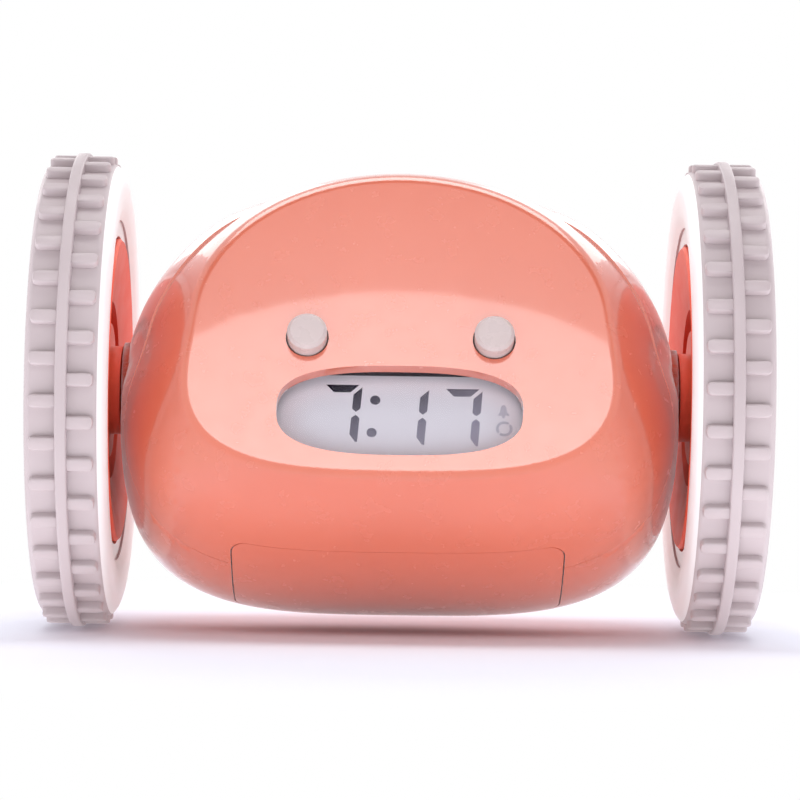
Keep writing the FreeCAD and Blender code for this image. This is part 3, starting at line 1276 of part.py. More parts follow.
def make_wheel(side_name, side):
    make_tyre(side_name, side)
    web_out = "web_x + web_thick"
    keep(turned(f"{side_name}_wheel_disc", [
        ("disc_inner_x", "tyre_bead_radius"), ("disc_outer_x", "tyre_bead_radius"),
        ("disc_outer_x", "barrel_radius"), ("cap_edge_x", "barrel_radius"),
        ("cap_edge_x", "barrel_radius - 1"), (web_out, "barrel_radius - 1"), (web_out, "hub_sleeve_radius"),
        ("web_x", "hub_sleeve_radius"), ("web_x", "barrel_radius - 1"),
        ("disc_inner_x", "barrel_radius - 1")], side))
    keep(turned(f"{side_name}_trim_ring", [
        ("ring_outer_x", "ring_outer_radius - 0.5"), ("ring_outer_x + 0.5", "ring_outer_radius"),
        ("web_x", "ring_outer_radius"), ("web_x", "ring_outer_radius - ring_wall"),
        ("ring_outer_x + ring_wall + 0.4", "ring_outer_radius - ring_wall"),
        ("ring_inner_x + ring_wall", "ring_inner_radius"), ("ring_inner_x", "ring_inner_radius")], side))
    keep(turned(f"{side_name}_hub", [
        ("neck_x", "axle_radius"), ("neck_x", "hub_neck_radius"), ("hub_flange_x", "hub_neck_radius"),
        ("hub_flange_x", "hub_flange_radius - 0.5"), ("hub_flange_x + 0.5", "hub_flange_radius"),
        ("web_x", "hub_flange_radius"), ("web_x", "hub_sleeve_radius"),
        ("sleeve_outer_x", "hub_sleeve_radius"),
        ("sleeve_outer_x", "axle_radius")], side))
    rim = "barrel_radius - running_clearance"
    keep(turned(f"{side_name}_hub_cap", [
        ("cap_edge_x", rim), ("cap_edge_x + 1.2", rim), ("cap_edge_x + 2", "barrel_radius - 1.5"),
        ("cap_edge_x + 2.6", "barrel_radius * 0.8"), ("cap_centre_x - 0.3", "barrel_radius * 0.5"),
        ("cap_centre_x", "barrel_radius * 0.2"), ("cap_centre_x", "0"), ("cap_centre_x - cap_wall", "0"),
        ("cap_centre_x - cap_wall", "barrel_radius * 0.2"),
        ("cap_centre_x - 0.3 - cap_wall", "barrel_radius * 0.5"),
        ("cap_edge_x + 2.6 - cap_wall", "barrel_radius * 0.8"), ("cap_edge_x", "barrel_radius - 3")], side))
    end = "sleeve_outer_x + hub_screw_head_height"
    tip = "sleeve_outer_x - hub_screw_length"
    keep(turned(f"{side_name}_hub_screw", [
        (end, "0"), (end, "hub_screw_head_radius - 0.5"), (f"{end} - 0.5", "hub_screw_head_radius"),
        ("sleeve_outer_x", "hub_screw_head_radius"), ("sleeve_outer_x", "hub_screw_shank_radius"),
        (tip, "hub_screw_shank_radius"), (tip, "0")], side))
    keep(turned(f"{side_name}_axle", [
        ("plate_inner_x", "0"), ("plate_inner_x", "axle_radius"), ("sleeve_outer_x", "axle_radius"),
        ("sleeve_outer_x", "hub_screw_shank_radius"), (tip, "hub_screw_shank_radius"), (tip, "0")], side))
    flange = "bushing_inner_x - bushing_flange_thick"
    bore = "axle_radius + running_clearance"
    BUSHINGS.append(turned(f"{side_name}_bushing", [
        (flange, bore), (flange, "bushing_flange_radius"), ("bushing_inner_x", "bushing_flange_radius"),
        ("bushing_inner_x", "bushing_radius"), ("boss_x", "bushing_radius"), ("boss_x", bore)], side))


make_shells()
make_display()
make_buttons()
make_power()
make_sounder()
make_screws()
for side_name, side in SIDES.items():
    make_drive(side_name, side)
    make_wheel(side_name, side)
keep(group("gear_pins", PINS))
keep(group("axle_bushings", BUSHINGS))
doc.recompute()

# ---------------------------------------------------------------- checks and files

for item in doc.Objects:
    if "Invalid" in item.State or "Error" in item.State:
        raise RuntimeError(f"{item.Label} failed: {item.State}")
for item in PIECES:
    if item.Shape.isNull() or not item.Shape.isValid():
        raise RuntimeError(f"{item.Label} has no valid shape")

os.makedirs("parts", exist_ok=True)
for item in PIECES:
    item.Shape.exportStep(f"parts/{item.Label}.step")
    print(f"{item.Label:24s} {len(item.Shape.Solids)} solid(s) {item.Shape.Volume:10.1f} mm3")
print(len(PIECES), "pieces")
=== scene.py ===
# %% [markdown]
# # A runaway alarm clock, dressed in Blender
#
# The clock is an egg of coral plastic that hangs between two white wheels. Its solids come from a
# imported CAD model, which sets every size and every moving part. This lesson gives those solids
# their finish, and remakes the pieces whose look depends on soft edges: the moulded shells, the
# tyres with their tread bars and the figures of the display. It ends with the studio around them.

# %% Load the clock's solids
import bpy
import bmesh
import json
import math
from mathutils import Matrix, Vector


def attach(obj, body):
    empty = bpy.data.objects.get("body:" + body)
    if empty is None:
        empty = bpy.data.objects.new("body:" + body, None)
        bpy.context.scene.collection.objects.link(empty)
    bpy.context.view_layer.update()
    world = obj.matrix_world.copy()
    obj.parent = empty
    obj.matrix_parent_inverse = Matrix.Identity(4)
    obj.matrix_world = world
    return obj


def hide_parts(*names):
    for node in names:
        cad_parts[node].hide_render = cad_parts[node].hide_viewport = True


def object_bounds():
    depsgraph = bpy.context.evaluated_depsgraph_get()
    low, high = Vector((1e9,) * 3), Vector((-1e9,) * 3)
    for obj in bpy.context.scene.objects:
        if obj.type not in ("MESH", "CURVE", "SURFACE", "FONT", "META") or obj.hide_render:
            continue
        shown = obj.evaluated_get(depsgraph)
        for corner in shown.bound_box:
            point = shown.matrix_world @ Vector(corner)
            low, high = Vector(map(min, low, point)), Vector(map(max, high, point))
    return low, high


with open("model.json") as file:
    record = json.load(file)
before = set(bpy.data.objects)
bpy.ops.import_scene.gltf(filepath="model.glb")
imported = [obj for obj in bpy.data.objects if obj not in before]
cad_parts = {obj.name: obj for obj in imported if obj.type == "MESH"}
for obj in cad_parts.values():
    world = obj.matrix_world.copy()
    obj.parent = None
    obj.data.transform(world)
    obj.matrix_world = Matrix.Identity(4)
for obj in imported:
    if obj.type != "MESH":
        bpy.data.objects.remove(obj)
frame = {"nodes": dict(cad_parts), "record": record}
cad_low, cad_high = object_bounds()
nodes = frame["nodes"]
SIDES = {"left": -1, "right": 1}
MM = 0.001
print("solids:", len(nodes), "size:", [round(v, 4) for v in cad_high - cad_low])

# %% [markdown]
# ## A kit for finishes
#
# Every finish here is a small tree of nodes. They share a few habits: a slow noise that shifts the
# colour a little, a finer noise that breaks up the gloss, and a very fine one that raises the
# surface by microns. Writing these once as helpers keeps each finish down to the numbers that make
# it different. The noise reads the object's own coordinates, so it stays on a piece that moves.

# %% Helpers that add nodes
NOISE_LOW, NOISE_HIGH = 0.35, 0.65


def node(tree, kind, **values):
    """Add a node; each value goes to the input of that name, or else to the setting."""
    made = tree.nodes.new(kind)
    for name, value in values.items():
        if name in made.inputs:
            made.inputs[name].default_value = value
        else:
            setattr(made, name, value)
    return made


def noise(tree, scale, detail=3.0):
    """Noise in the object's own coordinates, which are metres."""
    place = tree.nodes.new("ShaderNodeTexCoord")
    cloud = node(tree, "ShaderNodeTexNoise", Scale=scale, Detail=detail)
    tree.links.new(place.outputs["Object"], cloud.inputs["Vector"])
    return cloud.outputs["Fac"]


def spread(tree, source, low, high, from_low=NOISE_LOW, from_high=NOISE_HIGH):
    """Map a value, as a rule a noise, to the range from low to high and hold it there."""
    ranged = node(tree, "ShaderNodeMapRange")
    for name, value in (("From Min", from_low), ("From Max", from_high),
                        ("To Min", low), ("To Max", high)):
        ranged.inputs[name].default_value = value
    tree.links.new(source, ranged.inputs["Value"])
    return ranged.outputs["Result"]


def product(tree, first, second):
    """Multiply two values that nodes give."""
    times = node(tree, "ShaderNodeMath", operation="MULTIPLY")
    tree.links.new(first, times.inputs[0])
    tree.links.new(second, times.inputs[1])
    return times.outputs["Value"]


print("most of a noise lies between", NOISE_LOW, "and", NOISE_HIGH)

# %% Helpers that blend
def mix_colours(tree, share, first, second):
    """Blend two colours; each is a plain colour or another node's output."""
    mixer = node(tree, "ShaderNodeMix", data_type="RGBA")
    for name, colour in (("A", first), ("B", second)):
        socket = [s for s in mixer.inputs if s.name == name and s.type == "RGBA"][0]
        if isinstance(colour, tuple):
            socket.default_value = (*colour, 1)
        else:
            tree.links.new(colour, socket)
    factor = [s for s in mixer.inputs if s.name == "Factor" and s.type == "VALUE"][0]
    tree.links.new(share, factor)
    return [s for s in mixer.outputs if s.type == "RGBA"][0]


def blend_in(material, share, colour):
    """Blend one more colour into the base colour of a finish."""
    tree = material.node_tree
    base = tree.nodes["Principled BSDF"].inputs["Base Color"]
    before = base.links[0].from_socket
    tree.links.new(mix_colours(tree, share, before, colour), base)


def show_mixed(tree, share, first, second):
    """Blend two shaders and make the result the material's surface."""
    both = tree.nodes.new("ShaderNodeMixShader")
    tree.links.new(share, both.inputs["Fac"])
    tree.links.new(first, both.inputs[1])
    tree.links.new(second, both.inputs[2])
    tree.links.new(both.outputs["Shader"], tree.nodes["Material Output"].inputs["Surface"])


print("blends: colours, a colour into a finish, shaders")

# %% [markdown]
# A finish is then one call. Light and dark are its two close colours, gloss is its range of
# roughness, and grain is the scale, strength and depth of the fine relief. Anything else that the
# surface has, such as a clear coat or sheen, goes straight to the shader's own sockets.

# %% A finish
COLOUR_CLOUDS = 45.0
GLOSS_FINER, GLOSS_DETAIL = 6, 4.0
GRAIN_DETAIL = 2.0


def finish(name, light, dark, gloss, grain, clouds=COLOUR_CLOUDS, **surface):
    made = bpy.data.materials.new(name)
    made.use_nodes = True
    tree = made.node_tree
    shader = tree.nodes["Principled BSDF"]
    for socket, value in surface.items():
        shader.inputs[socket.replace("_", " ")].default_value = value
    slow = spread(tree, noise(tree, clouds), 0.0, 1.0)
    tree.links.new(mix_colours(tree, slow, light, dark), shader.inputs["Base Color"])
    rough = spread(tree, noise(tree, clouds * GLOSS_FINER, GLOSS_DETAIL), *gloss)
    tree.links.new(rough, shader.inputs["Roughness"])
    scale, strength, depth = grain
    bump = node(tree, "ShaderNodeBump", Strength=strength, Distance=depth)
    tree.links.new(noise(tree, scale, GRAIN_DETAIL), bump.inputs["Height"])
    tree.links.new(bump.outputs["Normal"], shader.inputs["Normal"])
    print("finish:", name)
    return made


# %% [markdown]
# ## Outer finishes
#
# The egg is moulded in a strong coral plastic and polished like a toy car. Most of its pale, milky
# look is not in the plastic but in what it mirrors, so the colour is kept deep and the mirror share
# high, with a clear coat over it. Sheen adds the milky veil where the surface turns away. The trim
# ring and hub have less polish, and their coral is painted lighter than the shell's to lift the
# shade on the hub. The tyres are one white rubber in two copies: a greyer one over the tread,
# painted shade, and a brighter one on the wall that faces the egg, painted light. Discs are satin
# white.

# %% Coral
coral_shell = finish("coral shell", light=(0.65, 0.128, 0.060), dark=(0.63, 0.120, 0.055),
                     gloss=(0.22, 0.28), grain=(900.0, 0.01, 0.00001),
                     Coat_Weight=1.0, Coat_Roughness=0.03, Coat_IOR=1.6,
                     Specular_IOR_Level=1.0, Sheen_Weight=0.7, Sheen_Roughness=0.4)
# Painted light: the shell's coral, painted lighter to lift the shade that falls on the hub.
coral_trim_painted_lighter = finish("coral trim painted lighter", light=(0.88, 0.130, 0.070), dark=(0.85, 0.120, 0.063),
                    gloss=(0.50, 0.60), grain=(2200.0, 0.04, 0.00001), Specular_IOR_Level=0.3)

# %% White
button_white = finish("button white", light=(0.55, 0.46, 0.45), dark=(0.52, 0.43, 0.42),
                      gloss=(0.24, 0.34), grain=(2500.0, 0.08, 0.00002), IOR=1.5)
# Painted shade: the tread's copy of the white rubber is painted greyer than the wall's.
tyre_rubber = finish("tyre rubber", light=(0.50, 0.425, 0.435), dark=(0.47, 0.395, 0.405),
                     gloss=(0.40, 0.52), grain=(1800.0, 0.22, 0.00004), Specular_IOR_Level=0.6)
# Painted light: a brighter copy of the same rubber for the wall that faces the egg.
tyre_wall_painted_bright = finish("tyre wall painted bright", light=(0.88, 0.87, 0.87), dark=(0.86, 0.85, 0.85),
                   gloss=(0.36, 0.46), grain=(1800.0, 0.16, 0.00003), Specular_IOR_Level=0.6)
disc_white = finish("disc white", light=(0.70, 0.69, 0.70), dark=(0.67, 0.66, 0.67),
                    gloss=(0.28, 0.38), grain=(2400.0, 0.10, 0.00002), IOR=1.5)

# %% [markdown]
# White pieces get a painted highlight: their edges are painted a little brighter than their faces,
# as where light catches a rounded edge. The tyres get painted shade: their corners are painted
# darker, as where less light falls. Both follow one measure, how far the surface bulges. Cycles
# offers it as Pointiness, but that jumps at single corners of a long thin mesh. So each mesh stores
# its own measure further on, as an attribute: 0.5 on a flat face, more on an edge, less in a
# corner.
# It has a limit of its own. A broad face whose corners all lie on its rim takes the rim's measure
# as a whole, and that spreads the painted highlight over the flat outer faces of the wheel discs,
# which are then paler than their finish.

# %% Painted highlights on edges and painted shade in corners
RAISED = (0.52, 0.62)
SUNK = (0.485, 0.40)


# Painted light: a brighter colour on bulging edges is a painted highlight, and a darker one in
# corners is painted shade.
def paint_edge_light_and_shade(material, share, colour, edges=RAISED):
    """Blend in a colour from the first to the second measure of bulge."""
    tree = material.node_tree
    bulge = node(tree, "ShaderNodeAttribute", attribute_name="bulge").outputs["Fac"]
    blend_in(material, spread(tree, bulge, 0.0, share, *edges), colour)
    print("wear on", material.name)


# Painted highlights on the edges of the buttons and the wheel discs.
paint_edge_light_and_shade(button_white, 0.6, (0.90, 0.86, 0.87))
paint_edge_light_and_shade(disc_white, 0.6, (0.93, 0.92, 0.92))
# Painted shade in the tyres' corners, beside the tread bars.
paint_edge_light_and_shade(tyre_rubber, 0.8, (0.40, 0.33, 0.35), SUNK)

# %% [markdown]
# ## Inner finishes
#
# The drive, the board and the cells are seen only when the battery door hangs open or the clock is
# taken apart. They get plain workshop finishes: acetal for the gears, green laminate for the board,
# plated steel and turned brass for the metal.

# %% Plastic inside
box_plastic = finish("box plastic", light=(0.72, 0.10, 0.07), dark=(0.68, 0.09, 0.06),
                     gloss=(0.42, 0.55), grain=(1600.0, 0.15, 0.00003))
dark_plastic = finish("dark plastic", light=(0.085, 0.080, 0.090), dark=(0.070, 0.066, 0.075),
                      gloss=(0.45, 0.6), grain=(1600.0, 0.15, 0.00003))
gear_acetal = finish("gear acetal", light=(0.80, 0.79, 0.72), dark=(0.76, 0.75, 0.68),
                     gloss=(0.35, 0.45), grain=(1500.0, 0.1, 0.00002))
board_green = finish("board green", light=(0.02, 0.14, 0.05), dark=(0.015, 0.11, 0.04),
                     gloss=(0.30, 0.42), grain=(900.0, 0.2, 0.00003))
cell_jacket = finish("cell jacket", light=(0.055, 0.06, 0.07), dark=(0.045, 0.05, 0.06),
                     gloss=(0.22, 0.3), grain=(900.0, 0.06, 0.00002))

# %% Metal inside
plated_steel = finish("plated steel", light=(0.55, 0.55, 0.57), dark=(0.48, 0.48, 0.50),
                      gloss=(0.22, 0.36), grain=(1500.0, 0.15, 0.00002), Metallic=1.0)
turned_brass = finish("turned brass", light=(0.66, 0.47, 0.17), dark=(0.60, 0.42, 0.15),
                      gloss=(0.22, 0.34), grain=(1800.0, 0.12, 0.00002), Metallic=1.0)

# %% [markdown]
# ## Display finishes
#
# The display is a sandwich. In front lies a clear window, which is best drawn as a thin pane:
# mostly transparent, with a mirror-like share that grows at a glancing angle. A glass shader would
# bend the view and darken it, because light would have to find its way through two faces. Behind
# the pane the liquid crystal is a pale grey sheet.

# %% The clear window
PANE_TINT = (0.97, 0.97, 0.985, 1)
PANE_CLOUDS = 300.0
PANE_GLOSS = (0.02, 0.05)
PANE_IOR = 1.13


def clear_pane(name):
    made = bpy.data.materials.new(name)
    made.use_nodes = True
    tree = made.node_tree
    tree.nodes.remove(tree.nodes["Principled BSDF"])
    through = node(tree, "ShaderNodeBsdfTransparent", Color=PANE_TINT)
    mirror = tree.nodes.new("ShaderNodeBsdfGlossy")
    rough = spread(tree, noise(tree, PANE_CLOUDS), *PANE_GLOSS)
    tree.links.new(rough, mirror.inputs["Roughness"])
    rim = node(tree, "ShaderNodeFresnel", IOR=PANE_IOR)
    show_mixed(tree, rim.outputs["Fac"], through.outputs["BSDF"], mirror.outputs["BSDF"])
    print("finish:", name)
    return made


window_clear = clear_pane("window clear")
crystal_grey = finish("crystal grey", light=(0.82, 0.79, 0.81), dark=(0.80, 0.77, 0.79),
                      gloss=(0.45, 0.55), grain=(700.0, 0.05, 0.00002), Specular_IOR_Level=0.2)

# %% [markdown]
# The figures are darkest at their upper left and grow faint towards their lower right. So their
# ink pales along one slope: a dot product of the place and a slope vector counts up by one over the
# width of the fade.

# %% Ink that fades
FADE_SLOPE = (16.9, 0.0, -50.0)
FADE_START = -0.22


def fade(material, colour, slope, start):
    """Blend a finish into a second colour along a slope in the object's own coordinates."""
    tree = material.node_tree
    place = tree.nodes.new("ShaderNodeTexCoord")
    along = node(tree, "ShaderNodeVectorMath", operation="DOT_PRODUCT")
    tree.links.new(place.outputs["Object"], along.inputs[0])
    along.inputs[1].default_value = slope
    blend_in(material, spread(tree, along.outputs["Value"], 0.0, 1.0, start, start + 1.0), colour)


segment_ink = finish("segment ink", light=(0.009, 0.006, 0.018), dark=(0.007, 0.005, 0.015),
                     gloss=(0.45, 0.55), grain=(900.0, 0.05, 0.00001), clouds=200.0,
                     Specular_IOR_Level=0.1)
fade(segment_ink, (0.44, 0.41, 0.49), FADE_SLOPE, FADE_START)
faint_ink = finish("faint ink", light=(0.52, 0.50, 0.56), dark=(0.49, 0.47, 0.53),
                   gloss=(0.35, 0.45), grain=(900.0, 0.05, 0.00001))

# %% [markdown]
# ## From slots to finishes
#
# The CAD model names a material slot for each solid, and says which moving body it belongs to. One
# table turns slots into finishes, so a piece that is added to the model later is dressed too.

# %% Give each solid its finish
SLOT_FINISH = {
    "shell_coral": coral_shell, "trim_coral": coral_trim_painted_lighter, "button_white": button_white,
    "tyre_white": tyre_rubber, "disc_white": disc_white, "window_clear": window_clear,
    "display_glass": crystal_grey, "inner_plastic": dark_plastic, "box_plastic": box_plastic,
    "board": board_green, "chip": dark_plastic, "connector_rubber": dark_plastic,
    "cell_jacket": cell_jacket, "motor_can": plated_steel, "gear_white": gear_acetal,
    "steel": plated_steel, "brass": turned_brass, "spring_steel": plated_steel,
}
record = frame["record"]
slot_of = {part["node"]: part["material_slot"] for part in record["subparts"]}
body_of = {name: body for body, names in record["behaviour"]["bodies"].items() for name in names}
for name, item in nodes.items():
    item.data.materials.clear()
    item.data.materials.append(SLOT_FINISH[slot_of[name]])
print("slots in use:", len(set(slot_of.values())))

# %% [markdown]
# ## Moulded pieces with soft shading
#
# A CAD solid arrives as loose flat triangles, and on a polished egg each of them would show in the
# reflections. So the pieces that are seen get a skin of their own: a copy of the solid's mesh whose
# corners are merged, shaded smoothly except where two faces meet at a real edge. Weighted normals
# then keep the broad faces flat right up to their rounded edges.

# %% Measure the bulge of a mesh
FLAT = 0.5


def new_object(name, mesh):
    made = bpy.data.objects.new(name, mesh)
    bpy.context.scene.collection.objects.link(made)
    return made


def mark_bulge(mesh):
    """Store the bulge at each corner: the mean angle over its edges, in half turns past flat."""
    work = bmesh.new()
    work.from_mesh(mesh)
    bulges = []
    for corner in work.verts:
        turns = [edge.calc_face_angle_signed(0.0) for edge in corner.link_edges]
        bulges.append(FLAT + sum(turns) / max(len(turns), 1) / math.pi)
    work.free()
    mesh.attributes.new("bulge", "FLOAT", "POINT").data.foreach_set("value", bulges)


def shade_soft(mesh, edge_angle):
    """Shade smoothly up to edges sharper than the angle in degrees, and store the bulge."""
    mesh.polygons.foreach_set("use_smooth", [True] * len(mesh.polygons))
    mesh.set_sharp_from_angle(angle=math.radians(edge_angle))
    mark_bulge(mesh)


print("a flat face measures", FLAT)

# %% Skins for the moulded pieces
SAME_PLACE = 1e-6
SLIVER = 1e-7
SKIN_EDGE = 24.0


def skin(name):
    """A merged, softly shaded copy of a solid, which then stands for it."""
    mesh = nodes[name].data.copy()
    mesh.name = name + "_skin"
    work = bmesh.new()
    work.from_mesh(mesh)
    bmesh.ops.remove_doubles(work, verts=work.verts, dist=SAME_PLACE)
    bmesh.ops.dissolve_degenerate(work, edges=work.edges, dist=SLIVER)
    work.to_mesh(mesh)
    work.free()
    shade_soft(mesh, SKIN_EDGE)
    made = new_object(name + "_skin", mesh)
    weigh = made.modifiers.new("weighted normals", "WEIGHTED_NORMAL")
    weigh.keep_sharp = True
    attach(made, body_of[name])
    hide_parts(name)
    print(made.name, len(mesh.polygons), "faces")


moulded = ["front_shell", "rear_shell", "battery_door", "snooze_button", "display_window"]
for side in SIDES:
    moulded += [f"{side}_{piece}" for piece in ("wheel_disc", "trim_ring", "hub", "hub_cap")]
for name in moulded:
    skin(name)

# %% [markdown]
# ## Tyres: the carcass
#
# A tyre is one turned carcass with a rib around its middle. The carcass could come from a Screw
# modifier, but turning it in a few lines keeps full control of the seam, where the last ring joins
# the first. Its outline is a list of corners: the distance from the clock's middle, the radius, and
# how far each corner is rounded, all in millimetres.

# %% The rounded outline of the carcass
BEAD_RADIUS = 32.0
WALL_IN, WALL_OUT = 52.0, 66.5
SHOULDER_IN, SHOULDER_OUT = 53.8, 65.6
TREAD_FLOOR = 42.5
RIB_RADIUS = 44.5
RIB_MIDDLE = 59.75
RIB_HALF = 1.05
RIB_IN, RIB_OUT = RIB_MIDDLE - RIB_HALF, RIB_MIDDLE + RIB_HALF
ARC_STEPS = 3


def rounded(points):
    """A closed outline of (x, radius, rounding) corners, each cut back and arced."""
    line = []
    for i, (x, r, rounding) in enumerate(points):
        here = Vector((x, r))
        before = Vector(points[i - 1][:2])
        after = Vector(points[(i + 1) % len(points)][:2])
        if rounding == 0:
            line.append(here)
            continue
        start = here + (before - here).normalized() * rounding
        end = here + (after - here).normalized() * rounding
        for k in range(ARC_STEPS + 1):
            t = k / ARC_STEPS
            line.append(start * (1 - t) ** 2 + here * 2 * t * (1 - t) + end * t ** 2)
    return line


carcass_outline = rounded([
    (53.0, BEAD_RADIUS, 0), (52.3, 34.0, 0.5), (WALL_IN, 36.0, 1.0), (WALL_IN, 39.0, 1.0),
    (52.7, 41.1, 0.6), (SHOULDER_IN, TREAD_FLOOR, 0.5),
    (RIB_IN, TREAD_FLOOR, 0.12), (RIB_IN, RIB_RADIUS, 0.42),
    (RIB_OUT, RIB_RADIUS, 0.42), (RIB_OUT, TREAD_FLOOR, 0.12),
    (SHOULDER_OUT, TREAD_FLOOR, 0.4), (WALL_OUT, 41.5, 0.6), (WALL_OUT, 36.0, 1.0),
    (65.3, BEAD_RADIUS, 0)])
print("carcass outline:", len(carcass_outline), "points")

# %% Turn the carcass
TURN_STEPS = 180


def turned_mesh(outline, side):
    """Turn a closed outline about the X axis; the result is closed and faces outwards."""
    work = bmesh.new()
    rings = []
    for k in range(TURN_STEPS):
        angle = math.tau * k / TURN_STEPS
        rings.append([work.verts.new((side * p.x * MM, -p.y * MM * math.cos(angle),
                                      p.y * MM * math.sin(angle))) for p in outline])
    for k in range(TURN_STEPS):
        here, after = rings[k], rings[(k + 1) % TURN_STEPS]
        for i in range(len(outline)):
            j = (i + 1) % len(outline)
            work.faces.new((here[i], here[j], after[j], after[i]))
    bmesh.ops.recalc_face_normals(work, faces=work.faces)
    return work


print("faces around a tyre:", TURN_STEPS)

# %% [markdown]
# ## Tyres: the tread bars
#
# Two rows of thirty-six bars run from the rib to the shoulders, staggered by half a step. The bars
# are what repeats, so Geometry Nodes place them: one bar is modelled, a point is made for each
# copy, and each point's index sets its turn. The bar has few faces, because it is copied 144 times.

# %% One tread bar
BAR_TOP = 44.0
BAR_LENGTH = 4.7
BAR_WIDTH = 2.45
BAR_ROOT = 0.2
BAR_SUNK = 0.5
BAR_CORNER = 0.95
BAR_BEVEL = 0.40
JUST_UNDER = 0.1


def bar_mesh():
    """One bar at the top of the wheel: from the rib's middle out to its round free end."""
    half = BAR_WIDTH / 2
    end = RIB_HALF + BAR_LENGTH
    outline = [Vector((BAR_ROOT, -half)), Vector((BAR_ROOT, half))]
    for sign, turns in ((1, (90, 60, 30, 0)), (-1, (0, -30, -60, -90))):
        for turn in turns:
            a = math.radians(turn)
            outline.append(Vector((end - BAR_CORNER + BAR_CORNER * math.cos(a),
                                   sign * (half - BAR_CORNER) + BAR_CORNER * math.sin(a))))
    work = bmesh.new()
    bottom = (TREAD_FLOOR - BAR_SUNK) * MM
    work.faces.new([work.verts.new((p.x * MM, p.y * MM, bottom)) for p in outline])
    grown = bmesh.ops.extrude_face_region(work, geom=list(work.faces))
    for item in grown["geom"]:
        if isinstance(item, bmesh.types.BMVert):
            item.co.z = BAR_TOP * MM
    top = [f for f in work.faces if all(v.co.z > (BAR_TOP - JUST_UNDER) * MM for v in f.verts)]
    edges = [e for f in top for e in f.edges]
    bmesh.ops.bevel(work, geom=edges, offset=BAR_BEVEL * MM, segments=2, profile=0.5,
                    affect="EDGES")
    bmesh.ops.recalc_face_normals(work, faces=work.faces)
    mesh = bpy.data.meshes.new("tread_bar")
    work.to_mesh(mesh)
    work.free()
    return mesh


tread_bar = bar_mesh()
print("tread bar:", len(tread_bar.polygons), "faces")

# %% [markdown]
# The tree has two branches, one for each row. Each branch first turns the bar about the wheel's
# radius, so that it points away from the rib, and then copies it around the axle. The joined rows
# are moved out to the wheel, made real and given their rubber.

# %% The tree that sets the bars around the wheel
def bar_row(tree, given, row, facing):
    """One row of bars about the X axis."""
    half_turn = node(tree, "ShaderNodeMath", operation="ADD")
    tree.links.new(given["Inner side"], half_turn.inputs[0])
    half_turn.inputs[1].default_value = facing
    spin = tree.nodes.new("ShaderNodeCombineXYZ")
    tree.links.new(half_turn.outputs["Value"], spin.inputs["Z"])
    faced = tree.nodes.new("GeometryNodeTransform")
    tree.links.new(given["Bar"], faced.inputs["Geometry"])
    tree.links.new(spin.outputs["Vector"], faced.inputs["Rotation"])
    points = tree.nodes.new("GeometryNodePoints")
    tree.links.new(given["Bars in a row"], points.inputs["Count"])
    index = tree.nodes.new("GeometryNodeInputIndex")
    step = node(tree, "ShaderNodeMath", operation="DIVIDE")
    step.inputs[0].default_value = math.tau
    tree.links.new(given["Bars in a row"], step.inputs[1])
    angle = node(tree, "ShaderNodeMath", operation="MULTIPLY_ADD")
    tree.links.new(index.outputs["Index"], angle.inputs[0])
    tree.links.new(step.outputs["Value"], angle.inputs[1])
    tree.links.new(given[f"{row} row turn"], angle.inputs[2])
    about_axle = tree.nodes.new("ShaderNodeCombineXYZ")
    tree.links.new(angle.outputs["Value"], about_axle.inputs["X"])
    copies = tree.nodes.new("GeometryNodeInstanceOnPoints")
    tree.links.new(points.outputs["Points"], copies.inputs["Points"])
    tree.links.new(faced.outputs["Geometry"], copies.inputs["Instance"])
    tree.links.new(about_axle.outputs["Vector"], copies.inputs["Rotation"])
    return copies.outputs["Instances"]


def tread_tree():
    tree = bpy.data.node_groups.new("tread bars", "GeometryNodeTree")
    face = tree.interface
    for name, kind in (("Bar", "Geometry"), ("Bars in a row", "Int"), ("Inner row turn", "Float"),
                       ("Outer row turn", "Float"), ("Inner side", "Float"),
                       ("Wheel middle", "Float"), ("Rubber", "Material")):
        face.new_socket(name, in_out="INPUT", socket_type="NodeSocket" + kind)
    face.new_socket("Tread", in_out="OUTPUT", socket_type="NodeSocketGeometry")
    given = tree.nodes.new("NodeGroupInput").outputs
    joined = tree.nodes.new("GeometryNodeJoinGeometry")
    for row, facing in (("Inner", 0.0), ("Outer", math.pi)):
        tree.links.new(bar_row(tree, given, row, facing), joined.inputs["Geometry"])
    placed = tree.nodes.new("GeometryNodeTransform")
    sideways = tree.nodes.new("ShaderNodeCombineXYZ")
    tree.links.new(given["Wheel middle"], sideways.inputs["X"])
    tree.links.new(joined.outputs["Geometry"], placed.inputs["Geometry"])
    tree.links.new(sideways.outputs["Vector"], placed.inputs["Translation"])
    real = tree.nodes.new("GeometryNodeRealizeInstances")
    tree.links.new(placed.outputs["Geometry"], real.inputs["Geometry"])
    coat = tree.nodes.new("GeometryNodeSetMaterial")
    tree.links.new(real.outputs["Geometry"], coat.inputs["Geometry"])
    tree.links.new(given["Rubber"], coat.inputs["Material"])
    tree.links.new(coat.outputs["Geometry"], tree.nodes.new("NodeGroupOutput").inputs["Tread"])
    return tree


bar_tree = tread_tree()
print("tread tree:", len(bar_tree.nodes), "nodes")

# %% [markdown]
# A modifier runs the tree on the one bar, and the result is kept as a plain mesh. It joins the
# carcass of its side, so that each tyre is one piece. Only the wall that faces the egg takes the
# rubber painted brighter: painted light that stands in for the strong light on that wall.

